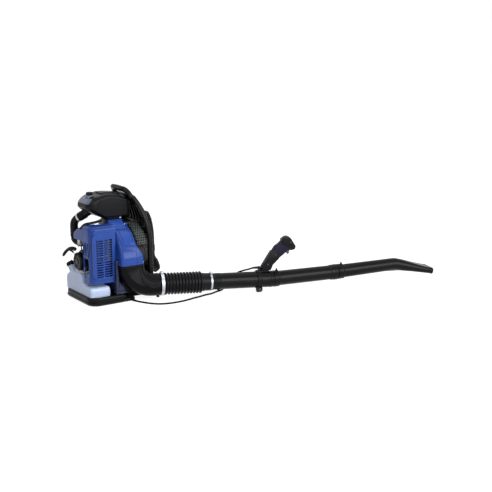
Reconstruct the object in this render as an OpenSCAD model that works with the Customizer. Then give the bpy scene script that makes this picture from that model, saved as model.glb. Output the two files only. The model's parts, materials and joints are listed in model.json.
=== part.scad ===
// Petrol backpack blower: engine and fan unit on a carrying frame, with a swinging blow tube.
// +X is the wearer's forward, +Y the wearer's left, +Z up. The origin is the middle of the base's underside.

/* [Base] */
// Rear edge of the base, behind the origin
base_rear = 183; // [178:1:200]
// How far the base stands out past each side of the back frame
base_out = 10; // [8:1:18]
// Height of the base tray's rim
base_h = 43; // [40:1:48]
// Thickness of the base's floor
base_floor = 6; // [4:0.5:9]
// Wall of the base tray
base_wall = 6; // [4:0.5:8]
// Height of the low front plate of the base
front_plate_h = 14; // [10:1:16]

/* [Back frame] */
// Front face of the upright part of the frame
frame_x = 159; // [156:1:166]
// Depth of the frame's side flanges
frame_depth = 26; // [20:1:32]
// Half width of the frame's lower part
frame_half_w = 140; // [130:1:150]
// Height of the frame's top edge above the filter box's floor
frame_rise = 106; // [102:1:114]
// How far the frame leans back at its top
frame_lean = 69; // [60:1:74]
// Thickness of the frame's skin
frame_skin = 4; // [3:0.5:6]
// Radius of the carry handle's bar
handle_r = 12; // [10:0.5:13]
// Half length of the carry handle's bar
handle_half_l = 44; // [40:1:50]
// Height of the carry handle's bar above the frame's top edge
handle_rise = 29; // [24:1:36]
// Radius of one screen hole in the frame
screen_hole_r = 3.5; // [2.5:0.25:4]
// Pitch of the screen holes
screen_pitch = 12; // [10.5:0.5:15]

/* [Harness] */
// Thickness of the back pad
pad_t = 24; // [15:1:30]
// Half width of the back pad
pad_half_w = 95; // [80:1:100]
// Width of a shoulder strap
strap_w = 50; // [40:1:54]
// Thickness of a shoulder strap
strap_t = 12; // [8:1:14]

/* [Fan] */
// Height of the crankshaft and fan axis
crank_z = 195; // [194:1:200]
// Radius of the impeller
impeller_r = 98; // [90:1:99]
// Axial width of the impeller's blades
blade_w = 62; // [50:1:64]
// Number of impeller blades
blades = 16; // [10:1:20]
// Smallest radius of the volute, inside
volute_r0 = 104; // [102:1:106]
// Growth of the volute's radius up to its outlet
volute_growth = 74; // [66:1:76]
// Wall of the fan housing
fan_wall = 4; // [3:0.5:5]
// Rear face of the fan housing
fan_rear_x = -36; // [-36:0.5:-34]
// Plane where the two halves of the fan housing meet
fan_seam_x = 50; // [44:1:54]
// Front face of the fan housing
fan_front_x = 90; // [84:1:92]
// Radius of the air inlet in the front half
inlet_r = 66; // [55:1:70]

/* [Engine] */
// Cylinder bore
bore_d = 48; // [46:1:50]
// Stroke of the crank
stroke = 35; // [30:1:36]
// Length of the connecting rod between centres
rod_l = 55; // [53:1:57]
// Radius of the cylinder's cooling fins
fin_r = 44; // [40:1:44]
// Number of cooling fins
fins = 8; // [5:1:9]
// Radius of the crankcase
crankcase_r = 50; // [48:1:52]
// Radius of the crankshaft's journals
journal_r = 10; // [8:0.5:11]
// Running clearance of a shaft in its bore
run_gap = 0.06; // [0.02:0.01:0.1]
// Radius of the flywheel
flywheel_r = 46; // [42:0.5:46.5]

/* [Engine cover] */
// Right face of the engine cover, to the right of the crank
cover_right = 130; // [126:1:134]
// Height of the cover's lower edge
cover_z0 = 105; // [102:1:112]
// Height of the cover's roof
cover_z1 = 376; // [370:1:380]
// Wall of the engine cover
cover_wall = 3; // [2:0.5:4]
// Number of louvre slots in the cover's side
louvres = 16; // [10:1:18]
// Height of one louvre slot
louvre_h = 5; // [3:0.5:6]

/* [Air filter] */
// Half width of the filter box
filter_half_w = 72; // [66:1:76]
// Wall of the filter box
filter_wall = 3; // [2:0.5:4]
// Radius of the filter knob
knob_r = 15; // [12:0.5:18]
// Radius of the intake hose
intake_r = 19; // [17:0.5:20]

/* [Starter] */
// Radius of the starter's drum
drum_r = 41.5; // [38:0.5:43]
// Radius of the starter's pulley
pulley_r = 30; // [26:0.5:33]
// Length of the starter grip's bar
tgrip_l = 98; // [80:1:104]

/* [Fuel tank] */
// Height of the tank's low part
tank_low_z = 87; // [80:1:95]
// Height of the tank's tall part
tank_tall_z = 136; // [125:1:138]
// Wall of the fuel tank
tank_wall = 3; // [2:0.5:4]
// Radius of the fuel cap
cap_r = 21; // [19:0.5:23]

/* [Blow tube] */
// Turn of the blow tube outwards from straight ahead, degrees
tube_yaw = 18.3; // [14:0.1:22]
// Slope of the hose and first tube, degrees
tube_slope = -1.7; // [-2.5:0.1:0]
// Bend at the first joint, degrees
joint_1_bend = 3.5; // [0:0.1:5]
// Bend at the second joint, degrees
joint_2_bend = 1.4; // [0:0.1:3]
// Drop of the nozzle's flat end, degrees
nozzle_drop = 15; // [8:0.5:20]
// Outer radius of the elbow
elbow_r = 54; // [50:0.5:56]
// Wall of the elbow
elbow_wall = 3; // [2:0.5:4]
// Bend radius of the elbow's centreline
elbow_bend_r = 109; // [106:1:111]
// Outer radius of the hose's ridges
hose_r = 53.5; // [52:0.5:55]
// Number of ridges on the hose
hose_ridges = 12; // [8:1:14]
// Pitch of the hose's ridges
hose_pitch = 15.5; // [14:0.5:17]
// Outer radius of the first tube
tube_1_r = 40; // [38:0.5:41]
// Outer radius of the second tube at its rear
tube_2_r = 36.7; // [36:0.1:37]
// Outer radius of the nozzle at its rear
nozzle_r = 34; // [33:0.5:34.5]
// Wall of the tubes
tube_wall = 2.5; // [2:0.1:3]
// Half width of the nozzle's flat mouth
mouth_half_w = 58; // [40:1:62]
// Half height of the nozzle's flat mouth
mouth_half_h = 15; // [10:1:18]

/* [Control grip] */
// Distance of the grip's clamp from the elbow clamp, along the tube
grip_s = 502; // [495:1:506]
// Half thickness of the grip
grip_half_t = 17; // [14:0.5:20]
// Wall of the grip shells
grip_wall = 3; // [2:0.5:4]
// Radius of the trigger's pin
trigger_pin_r = 2; // [1.5:0.25:3]
// Diameter of the throttle cable
cable_d = 8.5; // [5:0.5:9]

/* [Hidden] */
$fn = 48;

eps = 0.01;          // overshoot of a cut past the face it opens
gap = 0.4;           // clearance between separate pieces
seat = 0.1;          // clearance of a seat or spigot

// Heights that follow from the engine: crown of the fan housing, filter box and frame
crown_top = cover_z1 + 11;
filter_z0 = crown_top + 11;
frame_top = filter_z0 + frame_rise;
handle_z = frame_top + handle_rise;

// Base
base_half_w = frame_half_w + base_out;
tray_front = 12;     // front end of the tall tray
tray_r = 30;
plate_front = 150;
plate_right = 75;
rim_step = 5;        // inset of the rim's upper band
rim_band = 20;
shoulder_x = 62;     // the low plate's right shoulder under the elbow
shoulder_y = 138;

// Frame curves: the upright leans back and narrows above this height
lean_z = 250;
frame_bottom = front_plate_h;
frame_narrowing = 55;
frame_steps = 10;
function frame_t(z) = max(0, (z - lean_z) / (frame_top - lean_z));
function frame_front(z) = frame_x - frame_lean * pow(frame_t(z), 2.5);
function frame_half(z) = frame_half_w - frame_narrowing * pow(frame_t(z), 2.2);
frame_zs = concat([frame_bottom],
    [for (i = [0:frame_steps]) lean_z + (frame_top - lean_z) * i / frame_steps]);
frame_rim = 14;      // width of the flange round the frame
frame_bolt_x = frame_x - 33;
frame_bolt_y = [-55, frame_half_w - 20];
handle_x = 48;
arm_foot = [frame_front(frame_top - 12) - 13, frame_half(frame_top - 12) - 6, frame_top - 12];
mount_rear_x = fan_front_x;
mount_l = 28;
mount_r = 13;
mount_spots = [[-62, 315], [62, 315], [-66, 130], [66, 130]];
screen_rows = 6;
screen_columns = 3;
screen_y = 101;

// Pad and straps follow the frame
pad_z0 = 105;
pad_z1 = 420;
strap_y = 48;
strap_curve = [[415, 1], [390, 2], [350, 4], [300, 5], [250, 5], [200, 6], [180, 11], [161, 24], [128, 35],
    [116, 28], [108, 12]];    // height, and how far the strap stands off the pad there
buckle_z = 225;

// Volute: its radius grows from the tongue round to the outlet
function volute_r(a) = volute_r0 + volute_growth * cos(min(a, 300) * 0.3);
volute_step = 10;
duct_y0 = -(volute_r0 + volute_growth + fan_wall + 5);    // outlet duct, outer faces
duct_y1 = -(volute_r0 + fan_wall + 2);
duct_x0 = fan_rear_x;
duct_x1 = 82;
duct_z0 = crank_z - 10;
duct_z1 = crank_z + 27;
foot_x = -24;        // feet of the fan housing over the lower rubber mounts
foot_y = frame_half_w - 12;
foot_z = 46;
leg_x0 = -49;
lug_r = 8;
lug_l = 8;
lug_angles = [67, 90, 125, 165, 205, 245, 285];
lug_out = 5;         // how far a lug's centre lies outside the volute
screw_r = 2.5;
screw_head_r = 4.5;
screw_head_h = 4;
impeller_x0 = -10;
hub_r = 20;
impeller_back_t = 3;
blade_t = 2;
shaft_end_r = 7;

// Engine, from rear to front
cyl_x = -84;         // cylinder and crank pin
case_x0 = -112;
case_x1 = -56;
web_r = 36;
web_t = 8;
web_gap = 18;        // space between the two webs
pin_r = 8;
big_end_r = 12;
chamber_r = 38;      // inside of the crankcase
bearing_r = 17;
bearing_w = 9;
deck_z = crank_z + 54;
piston_h = 36;
tdc_z = crank_z + stroke / 2 + rod_l;
crown_z = tdc_z + 18;
chamber_top = crown_z + 10;
head_top = chamber_top + 9;
fin_z0 = deck_z + 6;
fin_t = 2.5;
barrel_r = bore_d / 2 + 5;
flywheel_x0 = -129;
flywheel_x1 = -116;
carb_z = 272;
carb_x1 = -144;
pipe_turn = -61;     // the pipe leans over towards the filter box, to the right and forward
carb_x0 = -168;
intake_turn = -60;   // the intake side points left and rearward
post_angles = [45, 135, 225, 315];
post_out = 53;       // distance of the starter's posts from the crank
muffler_y1 = -(fin_r + 6);
muffler_y0 = -118;
muffler_z0 = crank_z + 10;
muffler_size = [82, muffler_y1 - muffler_y0, 112];
muffler_wall = 2;
exhaust = [-84, crank_z + 30];    // across and up
exhaust_r = 8;

// Cover
cover_rear = -165;
cover_front = fan_rear_x - 2;
cover_left = 62;
cover_r = 28;
cover_left_r = 12;
pillar_left = -(drum_r + 1.5);    // left edge of the cover's rear pillar
band_z = 298;        // lower edge of the band over the starter

// Filter box, side view
box_y = filter_half_w;
box_r = 38;
box_x0 = -144;
box_front = 88;
box_h = 115;
box_profile = [[box_x0, 54], [box_x0 + 4, 76], [-124, 93], [-100, 103], [-40, box_h], [30, 108],
    [box_front, 83], [box_front, 0], [-58, 0], [-84, 12], [-108, 26], [-132, 40]];
cap_line_top = -58;  // slanted parting line of the filter cover, and its lower edge
cap_line_bottom = -104;
cap_line_z = 43;
box_bracket = [60, 42, 16, 24];    // rear end, height above the box's floor, width and height
knob_x = -100;
knob_z = filter_z0 + 108;
element = [[-60, -box_y + 12, 42], [65, box_y - 12, 88]];
pleats = 10;
pleat_pitch = 12;

// Starter
dish_r = 54;
dish_x0 = -150;
dish_x1 = -133;
drum_x0 = -178;
starter_wall = 3;
pulley_x0 = -172;
pulley_w = 12;
rope_r = 1.8;
rope_eye = [-178, 12, 34];    // from the crank's height
rope_dir = unit([-0.6, 0.4, 0.69]);
bar_dir = unit([-0.3, 0.86, -0.41]);
bar_sag = 20;        // how far the bar's ends curve down
bar_r = 6.5;
grip_out = 38;

// Tank
tank_rear = 172;
tank_right = base_half_w - 22;
tank_left = base_half_w - 12;
tank_front = -66;
tank_r = 24;
tank_z0 = 30;
tank_step_y = -30;   // right end of the tall part
tank_tall_x1 = -105;
neck_base = [-146, tank_left - 26, tank_tall_z - 16];
neck_tilt = 36;
neck_r = 17;
neck_l = 34;
cap_h = 18;
line_x = -88;        // where the fuel lines leave the tank
line_y = [52, 66];

// Blow tube frame: origin at the elbow clamp's middle, X along the tube
elbow_straight = 42;
inlet_half_l = (duct_x1 - duct_x0) / 2;    // the elbow's inlet has the duct's outer size
inlet_half_w = (duct_y1 - duct_y0) / 2;
tube_origin = [(duct_x0 + duct_x1) / 2, (duct_y0 + duct_y1) / 2, duct_z0]
    + [(elbow_straight + elbow_bend_r) * cos(tube_yaw),
    -(elbow_straight + elbow_bend_r) * sin(tube_yaw), -elbow_bend_r];
spigot_r = 50.5;
cuff_r = spigot_r + seat + 2.6;
clamp_w = 14;
hose_wall = 2;
hose_root = 8;       // depth of the hose's grooves
ridge_s0 = 14;
hose_end = 252;
tube_1_s0 = 222;
clip_s = 280;
joint_1_s = 560;
spigot_l = 40;
collar_l = 32;
tube_2_l = 345;      // from joint 1 to joint 2
tube_2_taper = 0.9;
nozzle_l = 325;      // from joint 2 to the bend
nozzle_taper = 2.8;
nozzle_tip_l = 200;
peg_h = 12;
socket_r = 33.9;     // bore of the second joint
peg_r = 5;

// Grip, in the tube frame: X along the tube, Z up from its axis
bracket_w = 24;
bracket_r = tube_1_r + seat + 4.5;
lug_turn = 30;       // the clamp lug points down and out
band_s = grip_s - 16;    // middle of the band round the tube
lug_w = 30;
lug_len = 64;
lug_bolt = 54;
grip_outline = [[500, 47], [500, 68], [529, 108], [562, 152], [586, 173], [606, 205], [618, 213],
    [634, 214], [646, 204], [672, 165], [670, 152], [660, 147], [640, 149], [610, 122], [595, 111],
    [556, 75], [545, 52], [540, 47]];
trigger_pivot = [634, 160];
trigger_t = 14;
trigger_slot = [617, 654, 116, 172];    // along and above the tube
lever_pivot = [606, 172];
switch_at = [619, 184];
grip_screws_at = [[530, 78], [570, 126], [645, 186]];
grip_screw_r = 1.8;
grip_foot_w = 47;    // height of the grip's foot above the tube's axis
cable_w = 60;        // height of the cable's stop above the tube's axis

// Cable routes: hand-set points in millimetres, from the gland at the base to the grip
route_lower = [[36, -143.2, 7], [36, -150, 7], [38, -161, 6.5], [47, -182, 5], [62, -212, 4.5],
    [82, -248, 4.5], [112, -277, 4.5],
    [150, -292, 4.5], [200, -297, 4.5], [245, -296, 5.5], [280, -294.5, 8]];
// The rest follows the tube: distance along it, then left of and above its axis
route_tube = [[175, -48, -60], [210, -38, -55], [242, -28, -53], [263, -21, -48], [clip_s, -19, -44],
    [305, 10, -46.5],
    [332, 35, -31], [358, 46.5, 0], [386, 39, 27], [412, 22, 42], [438, 7, 52], [458, 1, 59],
        [474, 0, cable_w], [grip_s - 14.1, 0, cable_w]];
function in_world(p) = tube_origin
    + p[0] * cos(tube_slope) * [cos(tube_yaw), -sin(tube_yaw), tan(tube_slope)]
    + p[1] * [sin(tube_yaw), cos(tube_yaw), 0]
    + p[2] * [-sin(tube_slope) * cos(tube_yaw), sin(tube_slope) * sin(tube_yaw), cos(tube_slope)];
route_upper = concat([route_lower[10] + [1.2, 0.2, 0.3]], [for (p = route_tube) in_world(p)]);

// --- helpers ---

// A flat shape given as [y, z], drawn along X from x0 to x1
module along_x(x0, x1) translate([x0, 0, 0]) rotate([90, 0, 90]) linear_extrude(x1 - x0) children();

// A flat shape given as [x, z], drawn along Y from y0 to y1
module along_y(y0, y1) translate([0, y1, 0]) rotate([90, 0, 0]) linear_extrude(y1 - y0) children();

module rod_x(x0, x1, r, r2 = -1) {
    translate([x0, 0, 0]) rotate([0, 90, 0]) cylinder(h = x1 - x0, r1 = r, r2 = r2 < 0 ? r : r2);
}

module ring_x(x0, x1, r_out, r_in) difference() {
    rod_x(x0, x1, r_out);
    rod_x(x0 - eps, x1 + eps, r_in);
}

// A flat rectangle with round corners between two opposite corners
module plate(a, b, r) {
    translate([a[0] + r, a[1]]) square([b[0] - a[0] - 2 * r, b[1] - a[1]]);
    translate([a[0], a[1] + r]) square([b[0] - a[0], b[1] - a[1] - 2 * r]);
    for (x = [a[0] + r, b[0] - r], y = [a[1] + r, b[1] - r]) translate([x, y]) circle(r);
}

module at_crank() translate([0, 0, crank_z]) children();

// A cylinder from point a to point b
module strut(a, b, r) {
    d = b - a;
    translate(a) rotate([0, acos(d[2] / norm(d)), atan2(d[1], d[0])]) cylinder(h = norm(d), r = r);
}

module on_tube() translate(tube_origin) rotate([0, -tube_slope, -tube_yaw]) children();
module on_tube_2() on_tube() translate([joint_1_s, 0, 0]) rotate([0, -joint_1_bend, 0]) children();
module on_nozzle() on_tube_2() translate([tube_2_l, 0, 0]) rotate([0, -joint_2_bend, 0]) children();

// Smooth curve through points p, and the tube of d diameter that follows it
function spline(p, i, t) = let (n = len(p) - 1,
        a = p[max(i - 1, 0)], b = p[i], c = p[min(i + 1, n)], d = p[min(i + 2, n)])
    0.5 * (2 * b + (c - a) * t + (2 * a - 5 * b + 4 * c - d) * t * t + (3 * b - a - 3 * c + d) * t * t * t);
function smooth(p, k) = concat([for (i = [0:len(p) - 2], j = [0:k - 1]) spline(p, i, j / k)],
    [p[len(p) - 1]]);
function unit(v) = v / norm(v);

// Skin over a list of rings, each a list of as many points in the same order
module loft(rings) {
    n = len(rings);
    k = len(rings[0]);
    polyhedron(points = [for (r = rings, q = r) q], convexity = 4, faces = concat(
        [[for (i = [k - 1:-1:0]) i]], [[for (i = [0:k - 1]) (n - 1) * k + i]],
        [for (j = [0:n - 2], i = [0:k - 1])
            let (m = (i + 1) % k) [j * k + i, j * k + m, (j + 1) * k + m, (j + 1) * k + i]]));
}

module swept_tube(p, d, sides = 8) {
    n = len(p);
    dirs = [for (i = [0:n - 1]) unit(p[min(i + 1, n - 1)] - p[max(i - 1, 0)])];
    loft([for (i = [0:n - 1]) let (u = unit(cross(dirs[i], [0.1, 0.2, 1])), v = cross(u, dirs[i]))
        [for (k = [0:sides - 1]) p[i] + (d / 2) * (cos(360 * k / sides) * u + sin(360 * k / sides) * v)]]);
}

// Rounded rectangle as points, counter-clockwise, with the same count for every size
corner_points = 8;
function round_rect(a, b, r) = [for (q = [0:3], i = [0:corner_points - 1])
    let (t = 90 * (q + (i + 0.5) / corner_points), sx = q == 0 || q == 3 ? 1 : -1, sy = q < 2 ? 1 : -1)
    [sx * (a - r) + r * cos(t), sy * (b - r) + r * sin(t)]];

// --- carrying frame ---

module base_outline(inset) {
    plate([-base_rear + inset, -base_half_w + inset], [tray_front - inset, base_half_w - inset],
        tray_r - inset);
}

module base_frame() color([0.07, 0.07, 0.08]) difference() {
    union() {
        linear_extrude(rim_band) base_outline(0);
        linear_extrude(base_h) base_outline(rim_step);
        linear_extrude(front_plate_h) plate([-tray_r, -plate_right], [plate_front, base_half_w - 10], 20);
        linear_extrude(front_plate_h) plate([-tray_r, -shoulder_y], [shoulder_x, 0], 20);
        translate([route_lower[0][0], -shoulder_y + 1, route_lower[0][2]])
            rotate([90, 0, 0]) cylinder(h = 6, r = cable_d / 2 + 2);
    }
    translate([0, 0, base_floor]) linear_extrude(base_h) base_outline(rim_step + base_wall);
    for (y = frame_bolt_y) translate([frame_bolt_x, y, -eps]) cylinder(h = base_h, r = screw_r + 1);
}

module frame_profile(shift, depth) {
    polygon(concat([for (z = frame_zs) [frame_front(z) + shift, z]],
        [for (i = [len(frame_zs) - 1:-1:0]) [frame_front(frame_zs[i]) + shift - depth, frame_zs[i]]]));
}

module frame_shape(inset) {
    polygon(concat([for (z = frame_zs) [frame_half(z) - inset, min(z, frame_top - inset)]],
        [for (i = [len(frame_zs) - 1:-1:0]) [-frame_half(frame_zs[i]) + inset,
            min(frame_zs[i], frame_top - inset)]]));
}

module frame_panel() difference() {
    intersection() {
        along_y(-frame_half_w, frame_half_w) frame_profile(0, frame_depth);
        along_x(0, frame_x + 1) frame_shape(0);
    }
    intersection() {
        along_y(-frame_half_w, frame_half_w) frame_profile(-frame_skin, frame_depth);
        along_x(0, frame_x + 1) intersection() {
            frame_shape(frame_rim);
            translate([-frame_half_w, frame_bottom + frame_rim]) square([2 * frame_half_w, frame_top]);
        }
    }
}

module back_frame() color([0.05, 0.05, 0.06]) {
    difference() {
        union() {
            frame_panel();
            for (m = mount_spots)
                translate([0, m[0], m[1]]) rod_x(mount_rear_x + mount_l, frame_front(m[1]) - 1,
                    mount_r + 4);
            // feet on the base's front plate
            for (y = frame_bolt_y) translate([frame_x - frame_depth - 24, y - 14, frame_bottom])
                cube([30, 28, 12]);
        }
        at_crank() rod_x(0, frame_x + eps, inlet_r + 2);
        // notch round the air outlet
        translate(tube_origin) rotate([0, 0, -tube_yaw]) rod_x(-elbow_straight - 20, 40, elbow_r + 4);
        for (side = [-1, 1], i = [0:screen_columns - 1], j = [0:screen_rows - 1])
            translate([0, side * (screen_y + (i - 1) * screen_pitch - (j % 2) * screen_pitch / 2),
                285 + j * screen_pitch])
                rod_x(100, frame_x + eps, screen_hole_r);
        for (y = frame_bolt_y) translate([frame_bolt_x, y, 0]) cylinder(h = 60, r = screw_r + 1);
    }
    // carry handle
    for (side = [-1, 1]) {
        strut([handle_x, side * handle_half_l, handle_z],
            [arm_foot[0], side * arm_foot[1], arm_foot[2]], handle_r);
        translate([handle_x, side * handle_half_l, handle_z]) sphere(handle_r + 0.5);
    }
    translate([handle_x, handle_half_l, handle_z]) rotate([90, 0, 0])
        cylinder(h = 2 * handle_half_l, r = handle_r);
}

module back_pad() color([0.10, 0.10, 0.11]) difference() {
    along_y(-pad_half_w, pad_half_w) polygon(concat(
        [for (i = [0:8]) let (z = pad_z0 + (pad_z1 - pad_z0) * i / 8) [frame_front(z) + gap + 1, z]],
        [for (i = [8:-1:0]) let (z = pad_z0 + (pad_z1 - pad_z0) * i / 8) [frame_front(z) + gap + 1
            + pad_t, z]]));
    at_crank() rod_x(0, 300, inlet_r - 6);
}

module shoulder_strap(side) color([0.08, 0.08, 0.09])
    translate([0, side * strap_y, 0]) along_y(-strap_w / 2, strap_w / 2) polygon(concat(
        [for (c = strap_curve) [frame_front(c[0]) + pad_t + 2 + c[1], c[0]]],
        [for (i = [len(strap_curve) - 1:-1:0]) let (c = strap_curve[i])
            [frame_front(c[0]) + pad_t + 2 + c[1] + strap_t, c[0]]]));

module strap_buckles() color([0.04, 0.04, 0.05]) for (side = [-1, 1])
    translate([frame_x + pad_t + strap_t + 9, side * strap_y - 18, buckle_z - 16]) difference() {
        cube([5, 36, 32]);
        for (z = [5, 19]) translate([-1, 5, z]) cube([7, 26, 8]);
    }

module av_mounts() color([0.12, 0.12, 0.12]) {
    for (m = mount_spots) translate([0, m[0], m[1]]) rod_x(mount_rear_x, mount_rear_x + mount_l, mount_r);
    for (y = [-foot_y, foot_y]) translate([foot_x, y, base_floor])
        cylinder(h = foot_z - base_floor, r = 10);
}

// --- fan ---

// Volute in the plane across the fan, centred on the crank; off moves its wall inwards
module volute(off) {
    polygon(concat([for (a = [0:volute_step:350]) (volute_r(a) + fan_wall - off) * [-cos(a), sin(a)]],
        [[-(volute_r0 + fan_wall - off), 0]]));
    translate([duct_y0 + off, duct_z0 - crank_z - (off > 0 ? 1 : -gap)])
        square([duct_y1 - duct_y0 - 2 * off, 12]);
}

module housing_lugs(x0, x1) for (a = lug_angles) {
    r = volute_r(a) + fan_wall + lug_out;
    translate([0, -r * cos(a), r * sin(a)]) rod_x(x0, x1, lug_r);
}

module lug_holes() for (a = lug_angles) {
    r = volute_r(a) + fan_wall + lug_out;
    translate([0, -r * cos(a), r * sin(a)]) rod_x(fan_seam_x - 20, fan_seam_x + 20, screw_r + 0.2);
}

module duct_box(off, z0, z1) translate([duct_x0 + off, duct_y0 + off, z0])
    cube([duct_x1 - duct_x0 - 2 * off, duct_y1 - duct_y0 - 2 * off, z1 - z0]);

// Side view of the crown over the volute's top
module crown(off) polygon([[-78 + off, volute_r(66)], [-52 + off, crown_top - crank_z - off],
    [22 - off, crown_top - crank_z - off],
    [44 - off, volute_r(104)]]);

module fan_housing_rear() color([0.08, 0.16, 0.55]) {
    difference() {
        union() {
            at_crank() along_x(fan_rear_x, fan_seam_x) volute(0);
            at_crank() housing_lugs(fan_seam_x - lug_l, fan_seam_x);
            duct_box(0, duct_z0 + gap, duct_z1);
        }
        at_crank() along_x(fan_rear_x + fan_wall, duct_x1 - fan_wall) volute(fan_wall);
        duct_box(fan_wall, duct_z0 - 1, duct_z1 - fan_wall);
        at_crank() lug_holes();
        at_crank() rod_x(fan_rear_x - 1, 0, bearing_r + 8);
    }
    // crown that carries the filter box, open to the rear
    difference() {
        at_crank() along_x(fan_rear_x, fan_seam_x - lug_l - screw_head_h - 1) crown(0);
        at_crank() along_x(fan_rear_x - 1, fan_seam_x - lug_l - screw_head_h - 1
            - fan_wall) crown(fan_wall);
    }
    // legs down the rear face, with feet over the lower mounts
    leg_y = cover_right + 2;
    translate([leg_x0, -leg_y - 18, foot_z]) cube([fan_rear_x - leg_x0 + eps, 18, crank_z + 20 - foot_z]);
    translate([leg_x0, -leg_y - 18, foot_z]) cube([foot_x + 26 - leg_x0, leg_y + 18 - foot_y + 10, 12]);
    translate([0, -leg_y, 0]) along_y(-4, 0)
        polygon([[leg_x0 + 5, foot_z + 70], [fan_rear_x + 2, foot_z + 70], [0, foot_z + 11],
        [leg_x0 + 5, foot_z + 11]]);
    translate([leg_x0, foot_y - 9, foot_z]) cube([fan_rear_x - leg_x0 + eps, 18, crank_z + 20 - foot_z]);
    translate([leg_x0, foot_y - 10, foot_z]) cube([foot_x + 12 - leg_x0, 20, 12]);
}

module fan_housing_front() color([0.05, 0.05, 0.06]) difference() {
    union() {
        at_crank() along_x(fan_seam_x, fan_front_x) front_volute(0);
        at_crank() housing_lugs(fan_seam_x, fan_seam_x + lug_l);
    }
    at_crank() along_x(fan_seam_x - 1, fan_front_x - fan_wall) front_volute(fan_wall);
    translate([0, duct_y0 - 10, 0]) cube([duct_x1 + gap, duct_y1 - duct_y0 + 10 + gap, duct_z1 + gap]);
    at_crank() lug_holes();
    at_crank() difference() {
        rod_x(fan_front_x - fan_wall - 1, fan_front_x + 1, inlet_r);
        for (i = [0:3]) rotate([45 * i, 0, 0]) translate([fan_front_x - fan_wall, -inlet_r - 1, -1.5])
            cube([fan_wall, 2 * inlet_r + 2, 3]);
        for (r = [32, 50]) ring_x(fan_front_x - fan_wall, fan_front_x, r + 4, r);
    }
}

module front_volute(off) polygon(concat(
    [for (a = [0:volute_step:350]) (volute_r(a) + fan_wall - off) * [-cos(a), sin(a)]],
    [[-(volute_r0 + fan_wall - off), 0]]));

module housing_screws() color([0.75, 0.76, 0.78]) {
    at_crank() for (a = lug_angles) {
        r = volute_r(a) + fan_wall + lug_out;
        translate([0, -r * cos(a), r * sin(a)]) {
            rod_x(fan_seam_x - lug_l - screw_head_h, fan_seam_x - lug_l, screw_head_r);
            rod_x(fan_seam_x - lug_l - 1, fan_seam_x + lug_l, screw_r);
        }
    }
    for (y = frame_bolt_y) translate([frame_bolt_x, y, 3]) {
        cylinder(h = frame_bottom + 13 - 3, r = screw_r);
        translate([0, 0, frame_bottom + 12 - 3]) cylinder(h = screw_head_h, r = screw_head_r);
    }
}

module impeller() color([0.75, 0.76, 0.78]) at_crank() difference() {
    union() {
        rod_x(impeller_x0, impeller_x0 + impeller_back_t, impeller_r);
        rod_x(impeller_x0, impeller_x0 + 30, hub_r);
        for (i = [0:blades - 1]) rotate([360 * i / blades, 0, 0])
            translate([impeller_x0 + impeller_back_t - 1, 42, 0]) rotate([25, 0, 0])
                translate([0, 0, -blade_t / 2]) cube([blade_w - 1, impeller_r - 44, blade_t]);
        ring_x(impeller_x0 + blade_w - 1, impeller_x0 + blade_w + 2, impeller_r, inlet_r);
    }
    rod_x(impeller_x0 - 1, impeller_x0 + 40, shaft_end_r + seat);
}

module crank_nuts() color([0.7, 0.7, 0.72]) at_crank() {
    difference() {
        translate([impeller_x0 + 30, 0, 0]) rotate([0, 90, 0]) cylinder(h = 8, r = 12, $fn = 6);
        rod_x(impeller_x0 + 29, impeller_x0 + 39, shaft_end_r + seat);
    }
    difference() {
        translate([flywheel_x0 - 6, 0, 0]) rotate([0, 90, 0]) cylinder(h = 6, r = 10, $fn = 6);
        rod_x(flywheel_x0 - 7, flywheel_x0 + 1, shaft_end_r - 1 + seat);
    }
}

// --- engine ---

module crankcase_body() difference() {
    union() {
        at_crank() rod_x(case_x0, case_x1, crankcase_r);
        translate([case_x0, -34, crank_z]) cube([case_x1 - case_x0, 68, deck_z - crank_z]);
        at_crank() rod_x(case_x1 - 1, fan_rear_x, 30);
        at_crank() rod_x(case_x0 - 3, case_x0 + 1, 24);
        // lugs for the starter's posts and the coil
        at_crank() for (a = post_angles) rotate([a, 0, 0]) translate([0, post_out, 0])
            rod_x(case_x0, case_x0 + 8, 6);
        translate([case_x0, 40, crank_z - 12]) cube([8, 32, 24]);
    }
    at_crank() rod_x(cyl_x - web_gap / 2 - web_t - 1, cyl_x + web_gap / 2 + web_t + 1, chamber_r);
    translate([cyl_x, 0, crank_z]) cylinder(h = 100, r = bore_d / 2 + 3.2);
    at_crank() rod_x(case_x0 - 10, fan_rear_x + 10, journal_r + 2);
    at_crank() rod_x(case_x0 + 1, cyl_x, bearing_r);
    at_crank() rod_x(cyl_x, fan_rear_x - 8, bearing_r);
}

module crankcase_front() color([0.6, 0.6, 0.62]) intersection() {
    crankcase_body();
    translate([cyl_x, -100, 0]) cube([100, 200, 400]);
}

module crankcase_rear() color([0.6, 0.6, 0.62]) intersection() {
    crankcase_body();
    translate([cyl_x - 100, -100, 0]) cube([100, 200, 400]);
}

module main_bearings() color([0.8, 0.8, 0.82]) at_crank() for (x =
    [case_x0 + 1, cyl_x + web_gap / 2 + web_t + 1])
    ring_x(x, x + bearing_w, bearing_r, journal_r + run_gap);

module crankshaft() color([0.55, 0.55, 0.57]) at_crank() {
    rod_x(impeller_x0 - 12, impeller_x0 + 40, shaft_end_r);
    rod_x(cyl_x + web_gap / 2, impeller_x0 - 12, journal_r);
    rod_x(flywheel_x0, cyl_x - web_gap / 2, journal_r);
    rod_x(flywheel_x0 - 8, flywheel_x0, shaft_end_r - 1);
    for (x = [cyl_x - web_gap / 2 - web_t, cyl_x + web_gap / 2]) rod_x(x, x + web_t, web_r);
    translate([0, 0, stroke / 2]) rod_x(cyl_x - web_gap / 2 - 1, cyl_x + web_gap / 2 + 1, pin_r);
}

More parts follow.
